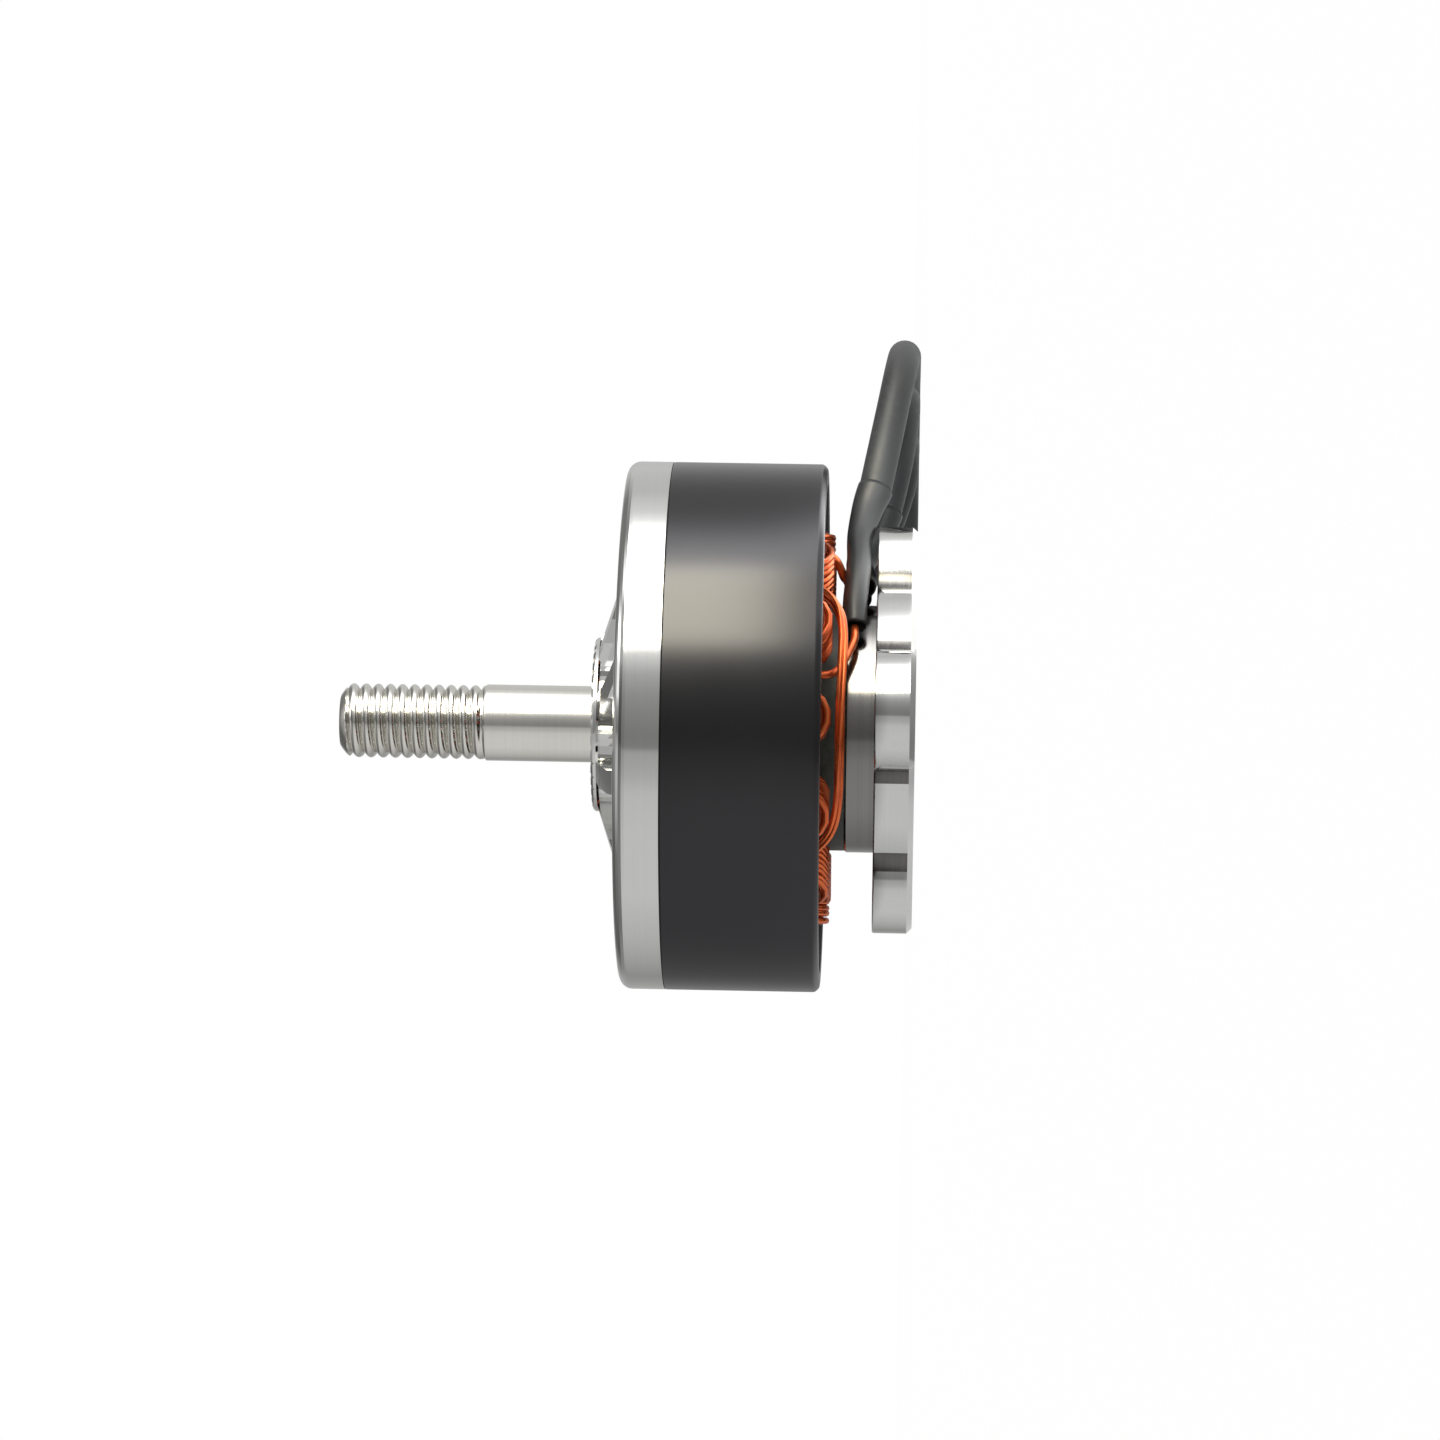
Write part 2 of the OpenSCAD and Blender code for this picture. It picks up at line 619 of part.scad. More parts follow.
arch_foot_r = 8.2;
arch_head_r = 7.2;
arch_rise = 1.5;
plate_dip = 0.25;
hub_foot_inset = 0.4;
seat_inset = 0.4;
module cap_body() rotate_extrude() polygon(concat(
    [[0, hub_z], [hub_r - hub_foot_inset, hub_z], [hub_r - hub_foot_inset, plate_in_z + arch_rise]],
    [[arch_head_r, plate_in_z + arch_rise]],
    [[arch_foot_r, plate_in_z], [ring_in_r - lip_clear - lip_wall, plate_in_z]],
    [[ring_in_r - lip_clear - lip_wall, ring_top - lip_h], [ring_in_r - lip_clear, ring_top - lip_h]],
    [[ring_in_r - lip_clear, ring_top], [bell_r, ring_top]],
    arc(bell_r - shoulder_r, plate_z - shoulder_r, shoulder_r, 0, 90, 6),
    [[cone_r, plate_z + plate_dip], [seat_r - seat_inset, seat_z - seat_t / 2], [0, seat_z - seat_t / 2]]
));

seat_flat_w = 1.1;
module serration() {
    half_w = serration_depth;
    flat_r = shaft_r + seat_flat_w;
    translate([flat_r, 0, seat_z]) rotate([90, 0, 90])
        linear_extrude(height = seat_r - flat_r + overrun) polygon([
            [-half_w, 0], [0, -serration_depth], [half_w, 0], [half_w, overrun], [-half_w, overrun]
        ]);
}

module seat_disc() difference() {
    translate([0, 0, seat_z - seat_t]) chamfered_disc(seat_r, seat_t, edge_break, edge_break);
    around(serration_count) serration();
}

module bell_cap() color("silver") difference() {
    union() {
        difference() {
            cap_body();
            around(spoke_count, spoke_turn + 180 / spoke_count)
                translate([0, 0, stack_top]) linear_extrude(height = seat_z - stack_top) polygon(WINDOW);
        }
        seat_disc();
    }
    translate([0, 0, stack_top]) cylinder(r = shaft_r, h = shaft_top - stack_top);
}

module flux_ring() color([0.12, 0.12, 0.13]) translate([0, 0, ring_z]) rotate_extrude() polygon([
    [ring_in_r, 0], [bell_r - ring_chamfer, 0], [bell_r, ring_chamfer], [bell_r, ring_h], [ring_in_r, ring_h]
]);

module magnets() color("gray") translate([0, 0, stack_mid - magnet_h / 2]) difference() {
    ring(magnet_in_r, magnet_out_r, magnet_h);
    around(magnet_count) translate([stator_r - overrun, -magnet_gap / 2, -overrun])
        cube([ring_in_r - stator_r + 2 * overrun, magnet_gap, magnet_h + 2 * overrun]);
}

// Shaft and what holds it. Round grooves at the thread's pitch stand for the thread
thread_turns = floor((thread_l - shaft_chamfer) / thread_pitch);
thread_z = shaft_top - thread_l;
thread_r = thread_d / 2;
relief_z = seat_z + 0.2 * relief_w;
crest_share = 0.12;
root_share = 0.12;
module shaft() color("silver") rotate_extrude() polygon(concat(
    [[0, shaft_foot_z], [shaft_r - shaft_chamfer / 2, shaft_foot_z]],
    [[shaft_r, shaft_foot_z + shaft_chamfer / 2], [shaft_r, clip_z], [shaft_r - clip_groove_depth, clip_z]],
    [[shaft_r - clip_groove_depth, rear_shim_z], [shaft_r, rear_shim_z]],
    [[shaft_r, relief_z - relief_w], [shaft_r - relief_depth, relief_z - relief_w]],
    [[shaft_r - relief_depth, relief_z], [shaft_r, relief_z], [shaft_r, thread_z]],
    [for (i = [0 : thread_turns - 1]) let (z = thread_z + i * thread_pitch) each [
        [thread_r, z],
        [thread_r - thread_depth, z + thread_pitch * (0.5 - root_share)],
        [thread_r - thread_depth, z + thread_pitch * (0.5 + root_share)],
        [thread_r, z + thread_pitch * (1 - crest_share)]
    ]],
    [[thread_r, shaft_top - shaft_chamfer], [thread_r - shaft_chamfer, shaft_top], [0, shaft_top]]
));

module retaining_clip() color("dimgray") translate([0, 0, clip_z]) difference() {
    ring(shaft_r - clip_groove_depth, shaft_r - clip_groove_depth + clip_w, clip_t);
    translate([0, -clip_gap / 2, -overrun]) cube([shaft_r + clip_w, clip_gap, clip_t + 2 * overrun]);
}

module shim(t) color("gainsboro") ring(shaft_r, inner_land_r - seat_clear, t);
module rear_shim() translate([0, 0, rear_shim_z]) shim(rear_shim_t);
module front_shim() translate([0, 0, tube_top]) shim(front_shim_t);

// Ball bearing: rings with round grooves, balls in a snap cage, and a shield on each side
module race_groove() {
    translate([0, 0, bearing_w / 2]) rotate_extrude()
        translate([ball_pitch_r, 0]) circle(r = ball_r + ball_clear, $fn = 48);
}

module bearing_outer() color("lightsteelblue") difference() {
    rotate_extrude() polygon([
        [outer_land_r, 0], [bearing_r - bearing_chamfer, 0], [bearing_r, bearing_chamfer],
        [bearing_r, bearing_w - bearing_chamfer], [bearing_r - bearing_chamfer, bearing_w],
        [outer_land_r, bearing_w]
    ]);
    race_groove();
}

module bearing_inner() color("lightsteelblue") difference() {
    ring(shaft_r, inner_land_r, bearing_w);
    race_groove();
}

module bearing_shields() color("gray") for (z = [shield_inset, bearing_w - shield_inset - shield_t])
    translate([0, 0, z]) ring(inner_land_r + shield_gap, outer_land_r, shield_t);

module bearing_cage() color("goldenrod") difference() {
    translate([0, 0, bearing_w / 2 - ball_r - ball_clear - cage_back_t])
        ring(inner_land_r + cage_wall_gap, outer_land_r - cage_wall_gap,
            ball_r + ball_clear + cage_back_t + cage_front_h);
    around(ball_count) translate([ball_pitch_r, 0, bearing_w / 2]) sphere(r = ball_r + ball_clear, $fn = 48);
}

module bearing_balls() color("white") around(ball_count)
    translate([ball_pitch_r, 0, bearing_w / 2]) sphere(r = ball_r, $fn = 48);

module front_bearing_outer() translate([0, 0, front_bearing_z]) bearing_outer();
module front_bearing_inner() translate([0, 0, front_bearing_z]) bearing_inner();
module front_bearing_shields() translate([0, 0, front_bearing_z]) bearing_shields();
module front_bearing_cage() translate([0, 0, front_bearing_z]) bearing_cage();
module front_bearing_balls() translate([0, 0, front_bearing_z]) bearing_balls();
module rear_bearing_outer() translate([0, 0, rear_bearing_z]) bearing_outer();
module rear_bearing_inner() translate([0, 0, rear_bearing_z]) bearing_inner();
module rear_bearing_shields() translate([0, 0, rear_bearing_z]) bearing_shields();
module rear_bearing_cage() translate([0, 0, rear_bearing_z]) bearing_cage();
module rear_bearing_balls() translate([0, 0, rear_bearing_z]) bearing_balls();

base();
stator_core();
front_insulator();
rear_insulator();
coil_cores_a();
coil_cores_b();
coil_cores_c();
coil_turns_a();
coil_turns_b();
coil_turns_c();
crossover_wires();
tail_wires();
sleeve_a();
sleeve_b();
sleeve_c();
lead_a();
lead_b();
lead_c();
lead_tie();
bell_cap();
flux_ring();
magnets();
shaft();
retaining_clip();
rear_shim();
front_shim();
front_bearing_outer();
front_bearing_inner();
front_bearing_shields();
front_bearing_cage();
front_bearing_balls();
rear_bearing_outer();
rear_bearing_inner();
rear_bearing_shields();
rear_bearing_cage();
rear_bearing_balls();
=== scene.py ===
"""Looks of an outrunner brushless drone motor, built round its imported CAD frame.

The motor stands on its mounting face with the shaft along +Z. The camera lies on its side, as the
photograph does, so the shaft points to the left of the picture. All lengths here are in metres
unless a name ends in mm.
"""

import logging
import math
from dataclasses import dataclass, field
from enum import Enum

import bpy
import numpy as np
from bpy.types import Material, Mesh, Node, NodeOutputs, NodeSocket, NodeTree, Object
from mathutils import Matrix, Vector

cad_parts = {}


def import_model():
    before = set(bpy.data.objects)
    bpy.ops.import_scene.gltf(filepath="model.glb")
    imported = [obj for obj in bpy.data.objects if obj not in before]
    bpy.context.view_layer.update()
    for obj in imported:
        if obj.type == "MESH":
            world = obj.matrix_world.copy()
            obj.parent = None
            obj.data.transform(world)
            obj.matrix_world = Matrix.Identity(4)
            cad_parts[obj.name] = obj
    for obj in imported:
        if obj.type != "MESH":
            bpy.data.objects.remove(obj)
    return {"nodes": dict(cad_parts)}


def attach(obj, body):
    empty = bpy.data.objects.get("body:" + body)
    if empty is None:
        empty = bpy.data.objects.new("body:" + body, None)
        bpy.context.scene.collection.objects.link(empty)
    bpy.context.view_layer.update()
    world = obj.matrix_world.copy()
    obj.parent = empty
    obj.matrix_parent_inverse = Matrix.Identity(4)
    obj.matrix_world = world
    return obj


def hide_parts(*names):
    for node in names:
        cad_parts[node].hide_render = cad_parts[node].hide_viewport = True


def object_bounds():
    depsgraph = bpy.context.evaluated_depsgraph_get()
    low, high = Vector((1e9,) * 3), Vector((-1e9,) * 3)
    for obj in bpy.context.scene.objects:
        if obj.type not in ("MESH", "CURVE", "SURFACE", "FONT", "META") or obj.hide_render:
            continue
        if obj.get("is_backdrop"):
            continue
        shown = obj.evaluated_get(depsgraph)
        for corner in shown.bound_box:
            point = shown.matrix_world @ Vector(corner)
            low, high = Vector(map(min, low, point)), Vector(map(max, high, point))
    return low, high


log = logging.getLogger("motor")

Pair = tuple[float, float]
Triple = tuple[float, float, float]
Inputs = dict[str | int, NodeSocket | float | tuple[float, ...]]

MM = 0.001

# Routes of the three leads, from the ends of their sleeves, in millimetres
LEAD_A_MM = [
    [15.8, 3.2, 2.9], [19.5, 5.6, 2.2], [23.9, 10, 1.4], [25.5, 16, 1.1], [23.9, 22, 1.1],
    [19.5, 26.4, 1.1], [13.5, 28, 1.1], [8.5, 28, 1.7], [3.5, 28, 1.7], [-1.5, 28, 1.1],
    [-4.5, 28.8, 1.1], [-6.7, 31, 1.1], [-7.5, 34, 1.1], [-6.7, 37, 1.1], [-4.5, 39.2, 1.1],
    [-1.5, 40, 1.1], [1.5, 40, 1.1], [7.5, 41.6, 1.1], [11.9, 46, 1.1], [13.5, 52, 1.1],
    [11.9, 58, 1.1], [7.5, 62.4, 1.1], [1.5, 64, 1.1],
]
LEAD_B_MM = [
    [14.6, 7.1, 2.2], [18, 8.2, 1.5], [21.3, 11.5, 1.1], [22.5, 16, 1.1], [21.3, 20.5, 1.1],
    [18, 23.8, 1.1], [13.5, 25, 1.1], [8.5, 25, 1.7], [3.5, 25, 1.7], [-1.5, 25, 1.1],
    [-6, 26.2, 1.1], [-9.3, 29.5, 1.1], [-10.5, 34, 1.1], [-9.3, 38.5, 1.1], [-6, 41.8, 1.1],
    [-1.5, 43, 1.1], [1.5, 43, 1.1], [6, 44.2, 1.1], [9.3, 47.5, 1.1], [10.5, 52, 1.1],
    [9.3, 56.5, 1.1], [6, 59.8, 1.1], [1.5, 61, 1.1], [-2.6, 61, 1.1], [-6.7, 61, 1.1],
]
LEAD_C_MM = [
    [12.4, 9.7, 2.6], [14.6, 10.1, 1.8], [16.8, 11, 1.2], [18.7, 13, 1.1], [19.5, 16, 1.1],
    [18.7, 19, 1.1], [16.5, 21.2, 1.1], [13.5, 22, 1.1], [8.5, 22, 1.7], [3.5, 22, 1.7],
    [-1.1, 22, 1.1], [-7.1, 23.6, 1.1], [-11.5, 28, 1.1], [-13.1, 34, 1.1], [-11.5, 40, 1.1],
    [-7.1, 44.4, 1.1], [-1.1, 46, 1.1], [1.9, 46, 1.1], [4.9, 46.8, 1.1], [7.1, 49, 1.1],
    [7.9, 52, 1.1], [7.1, 55, 1.1], [4.9, 57.2, 1.1], [1.9, 58, 1.1], [-3.3, 58, 1.1],
    [-8.5, 58, 1.1], [-13.6, 58, 1.1],
]

# Routes of the sleeves, from the winding wires to the leads
SLEEVE_A_MM = [
    [6.6, -6.2, 4], [8.2, -5.2, 4], [9.8, -3.8, 3.9], [11.2, -2, 3.8], [12.8, 0.4, 3.8],
    [14.4, 2.2, 3.4], LEAD_A_MM[0],
]
SLEEVE_B_MM = [
    [9.3, -1.2, 3.5], [9.4, 0.8, 3.5], [9.9, 3, 3.6], [11, 5, 3.75], [12.8, 6.4, 2.9], LEAD_B_MM[0],
]
SLEEVE_C_MM = [[8.6, 4.8, 3.8], [9, 6.4, 3.8], [9.8, 8.2, 3.6], [11, 9.2, 3.1], LEAD_C_MM[0]]

# Winding wires from the coils to the sleeves
TAIL_A_MM = [
    [3.4, -10.1, 6.2], [3.5, -9.9, 5.4], [4, -9.2, 4.8], [5, -8, 4.3], [5.8, -7, 4], SLEEVE_A_MM[0],
]
TAIL_B_MM = [
    [11.2, -3.9, 6.2], [11.1, -3.8, 5.5], [10.6, -3.4, 5.1], [9.7, -2.9, 4.7], [9.4, -2.2, 3.9],
    SLEEVE_B_MM[0],
]
TAIL_C_MM = [
    [11.3, 3.8, 6.2], [11.2, 3.7, 5.5], [10.6, 3.5, 5.1], [9.6, 3.4, 4.6], [8.9, 3.9, 4],
    SLEEVE_C_MM[0],
]

UP = np.array([0.0, 0.0, 1.0])
WHITE = (1, 1, 1, 1)
UV_STRETCH = (0.002, 0.01, 1)
SHEET_STRETCH = (0.05, 0.05, 1)


# Mesh building


def surface(
    name: str,
    grid: np.ndarray,
    wrap_rows: bool = False,
    wrap_columns: bool = True,
    capped: bool = False,
) -> Object:
    """Makes a mesh of the quads between the points of a grid.

    Point (i, j) joins points (i + 1, j), (i + 1, j + 1) and (i, j + 1). A wrapped side joins its
    last line to its first. The UV map holds the grid's own numbers, i and j.

    Args:
        name: Name of the piece.
        grid: Points, an array of rows by columns by 3.
        wrap_rows: True if the last row joins the first.
        wrap_columns: True if the last column joins the first.
        capped: True if a fan round the middle of the first and of the last row closes the ends.

    Returns:
        The new object, at the origin.
    """
    rows, columns = grid.shape[:2]
    i, j = np.meshgrid(
        np.arange(rows if wrap_rows else rows - 1),
        np.arange(columns if wrap_columns else columns - 1),
        indexing="ij",
    )
    corner_i = np.stack([i, i, i + 1, i + 1], -1).reshape(-1, 4)
    corner_j = np.stack([j, j + 1, j + 1, j], -1).reshape(-1, 4)
    faces = (corner_i % rows) * columns + corner_j % columns
    uv = np.stack([corner_i, corner_j], -1).astype(float)
    points = grid.reshape(-1, 3)
    lists = faces.tolist()
    uv_flat = uv.reshape(-1, 2)
    if capped:
        count = len(points)
        points = np.vstack([points, grid[0].mean(0), grid[-1].mean(0)])
        k = np.arange(columns)
        following = (k + 1) % columns
        start = np.stack([following, k, np.full(columns, count)], -1)
        last = (rows - 1) * columns
        end = np.stack([last + k, last + following, np.full(columns, count + 1)], -1)
        lists += start.tolist() + end.tolist()
        fan = np.stack([np.zeros(3 * columns), np.repeat(k, 3)], -1)
        uv_flat = np.vstack([uv_flat, fan, fan + [rows, 0]])
    mesh = bpy.data.meshes.new(name)
    mesh.from_pydata(points.tolist(), [], lists)
    layer = mesh.uv_layers.new(name="UVMap")
    layer.uv.foreach_set("vector", uv_flat.astype(np.float32).ravel())
    mesh.shade_smooth()
    piece = bpy.data.objects.new(name, mesh)
    bpy.context.scene.collection.objects.link(piece)
    return piece


def joined(name: str, parts: list[Object]) -> Object:
    """Joins several meshes into one piece.

    Args:
        name: Name of the piece.
        parts: Objects to join. They are used up.

    Returns:
        The joined object.
    """
    with bpy.context.temp_override(
        active_object=parts[0], object=parts[0], selected_objects=parts, selected_editable_objects=parts
    ):
        bpy.ops.object.join()
    parts[0].name = name
    parts[0].data.name = name
    return parts[0]


def crisp(piece: Object, degrees: float = 30) -> Object:
    """Keeps every edge sharp whose faces meet at more than the given angle.

    Args:
        piece: The piece.
        degrees: The angle.

    Returns:
        The same piece.
    """
    piece.data.set_sharp_from_angle(angle=math.radians(degrees))
    return piece


def spline(points: np.ndarray, spacing: float) -> np.ndarray:
    """Smooth line through points, at an even spacing.

    Between two points a line is the cubic whose slope at each point is half the way from the point
    before it to the point after it. The dense line is then read off at equal lengths.

    Args:
        points: Points that the line passes through, n by 3.
        spacing: Distance between the points of the result.

    Returns:
        Points on the line, m by 3.
    """
    p = np.asarray(points, float)
    slope = np.gradient(p, axis=0)
    t = np.linspace(0, 1, 24, endpoint=False)[None, :, None]
    a, b = p[:-1, None], p[1:, None]
    ta, tb = slope[:-1, None], slope[1:, None]
    dense = (
        (2 * t**3 - 3 * t**2 + 1) * a
        + (t**3 - 2 * t**2 + t) * ta
        + (3 * t**2 - 2 * t**3) * b
        + (t**3 - t**2) * tb
    ).reshape(-1, 3)
    dense = np.vstack([dense, p[-1]])
    run = lengths(dense)
    count = max(2, round(run[-1] / spacing) + 1)
    at = np.linspace(0, run[-1], count)
    return np.stack([np.interp(at, run, dense[:, k]) for k in range(3)], -1)


def lengths(points: np.ndarray) -> np.ndarray:
    """Length along a line up to each of its points, the sum of the steps before it.

    Args:
        points: The line, n by 3.

    Returns:
        The n lengths, from 0.
    """
    return np.concatenate([[0], np.cumsum(np.linalg.norm(np.diff(points, axis=0), axis=1))])


def angles(steps: int) -> np.ndarray:
    """Angles of one turn in even steps from 0, with the end left out."""
    return np.linspace(0, 2 * np.pi, steps, endpoint=False)


def tube(points: np.ndarray, radius: np.ndarray | float, sides: int, up: np.ndarray) -> np.ndarray:
    """Grid of a round tube along a line.

    Point (i, k) is line point i plus radius times (cos a times n + sin a times b). Here a is the
    k-th share of a turn, n is the part of up that is square to the line, and b is square to both.

    Args:
        points: The line, n by 3.
        radius: One radius, or n radii, or n by sides radii.
        sides: Number of points round the tube.
        up: Direction that the tube's first side keeps to, one vector or n by 3.

    Returns:
        Grid of points, n by sides by 3.
    """
    along = np.gradient(points, axis=0)
    along /= np.linalg.norm(along, axis=1, keepdims=True)
    up = np.broadcast_to(up, points.shape)
    n = up - (up * along).sum(1, keepdims=True) * along
    n /= np.linalg.norm(n, axis=1, keepdims=True)
    b = np.cross(along, n)
    a = angles(sides)
    r = np.asarray(radius, float)
    r = r[:, None] if r.ndim == 1 else r
    ring = np.cos(a)[None, :, None] * n[:, None] + np.sin(a)[None, :, None] * b[:, None]
    return points[:, None] + np.broadcast_to(r, (len(points), sides))[..., None] * ring


def rounded(corners: list[Pair], radius: float, steps: int = 3) -> np.ndarray:
    """Closed outline whose corners are rounded off.

    Each corner becomes the curve between its two neighbours' sides that starts and ends one radius
    from the corner and is bent towards it, as a parabola with the corner as its control point.

    Args:
        corners: Corners of the outline, in order.
        radius: How far from a corner its curve starts, at most 0.45 of a side.
        steps: Number of pieces of each curve.

    Returns:
        Points of the outline, m by 2.
    """
    c = np.array(corners, float)
    before, after = np.roll(c, 1, 0) - c, np.roll(c, -1, 0) - c
    low = np.linalg.norm(before, axis=1, keepdims=True)
    high = np.linalg.norm(after, axis=1, keepdims=True)
    start = c + before / low * np.minimum(radius, 0.45 * low)
    end = c + after / high * np.minimum(radius, 0.45 * high)
    t = np.linspace(0, 1, steps + 1)[None, :, None]
    curve = (1 - t) ** 2 * start[:, None] + 2 * t * (1 - t) * c[:, None] + t**2 * end[:, None]
    return curve.reshape(-1, 2)


def polar(r: np.ndarray | float, a: np.ndarray | float, z: np.ndarray | float) -> np.ndarray:
    """Points (r cos a, r sin a, z), from numbers or from arrays that fit each other."""
    return np.stack(np.broadcast_arrays(r * np.cos(a), r * np.sin(a), z), -1)


def lathed(outline: np.ndarray, steps: int) -> np.ndarray:
    """Grid of an outline of (radius, z) points turned round the Z axis.

    Point (i, k) is outline point i at the k-th share of a turn: (r cos a, r sin a, z).

    Args:
        outline: Outline, m by 2, going round its area against the clock with r to the right.
        steps: Number of places round the axis.

    Returns:
        Grid of points, m by steps by 3.
    """
    return polar(outline[:, 0, None], angles(steps), outline[:, 1, None])


def arc(x: float, y: float, r: float, start: float, end: float, steps: int) -> np.ndarray:
    """Points (x + r cos a, y + r sin a) for angles a from start to end in even steps.

    Args:
        x: Middle of the arc, first coordinate.
        y: Middle of the arc, second coordinate.
        r: Radius.
        start: First angle, in radians.
        end: Last angle.
        steps: Number of steps.

    Returns:
        Points, steps + 1 by 2.
    """
    a = np.linspace(start, end, steps + 1)
    return np.stack([x + r * np.cos(a), y + r * np.sin(a)], -1)


def carve(piece: Object, other: Object, operation: str) -> None:
    """Joins another solid to a piece, or takes it away, and removes the other.

    Args:
        piece: The piece that changes.
        other: The solid that is used up.
        operation: UNION or DIFFERENCE.
    """
    step = piece.modifiers.new("carve", "BOOLEAN")
    step.operation = operation
    step.solver = "EXACT"
    step.object = other
    with bpy.context.temp_override(active_object=piece, object=piece, selected_objects=[piece]):
        bpy.ops.object.modifier_apply(modifier=step.name)
    bpy.data.objects.remove(other)


# Shader nodes


def fill(tree: NodeTree, node: Node, inputs: Inputs) -> None:
    """Gives a node's inputs what they read.

    Args:
        tree: Node tree of a material or of the world.
        node: The node.
        inputs: What each input gets: a socket is linked, anything else is the input's value.
    """
    for place, value in inputs.items():
        if isinstance(value, NodeSocket):
            tree.links.new(value, node.inputs[place])
        else:
            node.inputs[place].default_value = value


def add(tree: NodeTree, kind: str, inputs: Inputs, operation: str = "") -> NodeOutputs:
    """Adds a shader node with filled inputs.

    Args:
        tree: Node tree of a material or of the world.
        kind: Name of the node's type, without the ShaderNode before it.
        inputs: What each input gets, as in fill.
        operation: What a math node works out.

    Returns:
        The node's outputs.
    """
    node = tree.nodes.new(f"ShaderNode{kind}")
    if operation:
        node.operation = operation
    fill(tree, node, inputs)
    return node.outputs


def ramp(tree: NodeTree, source: NodeSocket, stops: list[tuple[float, Triple]]) -> NodeSocket:
    """Colour that changes evenly from stop to stop.

    Args:
        tree: Node tree of a material or of the world.
        source: Socket with the place on the ramp.
        stops: Place and colour of each stop.

    Returns:
        The socket with the colour.
    """
    node = tree.nodes.new("ShaderNodeValToRGB")
    elements = node.color_ramp.elements
    while len(elements) < len(stops):
        elements.new(0.5)
    for element, (place, colour) in zip(elements, stops):
        element.position = place
        element.color = (*colour, 1)
    fill(tree, node, {"Fac": source})
    return node.outputs["Color"]


# Finishes


class Pattern(Enum):
    """What the fine detail of a finish follows."""

    TURNED = "rings round the shaft's axis, as a lathe leaves them"
    GRAIN = "fine even grain, as blasting, moulding or coating leaves it"
    STACKED = "thin sheets stacked along the shaft"
    ALONG = "the length of a wire or sleeve, from its own UV map"


@dataclass(frozen=True)
class Finish:
    """One finish: a base colour with variation, gloss, and detail in relief."""

    name: str
    colour: Triple
    dark: Triple
    metallic: float
    roughness: float
    pattern: Pattern
    scale: float
    relief: float = 0.1
    relief_depth: float = 0.00002
    rough_spread: float = 0.08
    coat: float = 0.0
    coat_roughness: float = 0.1
    specular: float = 0.5
    broad_scale: float = 180
    broad_share: float = 0.4
    colour_span: Pair = (0.35, 0.62)
    rough_span: Pair = (0.3, 0.7)
    least_roughness: float = 0.02

    def material(self) -> Material:
        """Makes the finish's material, or finds it if it was made before.

        A fine noise along the pattern, with a broad one mixed in, chooses between the two colours
        and moves the roughness. The fine noise alone raises the relief.

        Returns:
            A material on object coordinates or, for Pattern.ALONG, on the piece's UV map.
        """
        name = f"finish_{self.name}"
        found = bpy.data.materials.get(name)
        if found:
            return found
        made = bpy.data.materials.new(name)
        made.use_nodes = True
        tree = made.node_tree
        place = add(tree, "TexCoord", {})
        detail = self._detail_place(tree, place)
        fine = add(tree, "TexNoise", {"Vector": detail, "Scale": self.scale, "Detail": 3})["Fac"]
        broad = add(
            tree, "TexNoise", {"Vector": place["Object"], "Scale": self.broad_scale, "Detail": 2},
        )["Fac"]
        tone = add(tree, "Mix", {"Factor": self.broad_share, "A": fine, "B": broad})["Result"]
        rough = add(tree, "MapRange", {
            "Value": tone,
            "From Min": self.rough_span[0],
            "From Max": self.rough_span[1],
            "To Min": max(self.least_roughness, self.roughness - self.rough_spread),
            "To Max": min(1, self.roughness + self.rough_spread),
        })["Result"]
        bump = add(
            tree, "Bump", {"Height": fine, "Strength": self.relief, "Distance": self.relief_depth},
        )["Normal"]
        fill(tree, tree.nodes["Principled BSDF"], {
            "Metallic": self.metallic,
            "Coat Weight": self.coat,
            "Coat Roughness": self.coat_roughness,
            "Specular IOR Level": self.specular,
            "Base Color": ramp(tree, tone, list(zip(self.colour_span, (self.dark, self.colour)))),
            "Roughness": rough,
            "Normal": bump,
        })
        return made

    def _detail_place(self, tree: NodeTree, place: NodeOutputs) -> NodeSocket:
        """Coordinates for the fine detail.

        TURNED reads (radius, 0, z), so that the detail is the same all round the axis. STACKED
        reads z and a little of x and y, and ALONG reads the UV map, drawn out along the piece.

        Args:
            tree: The material's node tree.
            place: Outputs of its texture coordinate node.

        Returns:
            The socket that the fine noise reads.
        """
        if self.pattern is Pattern.GRAIN:
            return place["Object"]
        if self.pattern is Pattern.ALONG:
            return add(tree, "Mapping", {"Vector": place["UV"], "Scale": UV_STRETCH})["Vector"]
        if self.pattern is Pattern.STACKED:
            return add(tree, "Mapping", {"Vector": place["Object"], "Scale": SHEET_STRETCH})["Vector"]
        flat = add(tree, "VectorMath", {0: place["Object"], 1: (1, 1, 0)}, "MULTIPLY")["Vector"]
        radius = add(tree, "VectorMath", {0: flat}, "LENGTH")["Value"]
        z = add(tree, "SeparateXYZ", {"Vector": place["Object"]})["Z"]
        return add(tree, "CombineXYZ", {"X": radius, "Z": z})["Vector"]


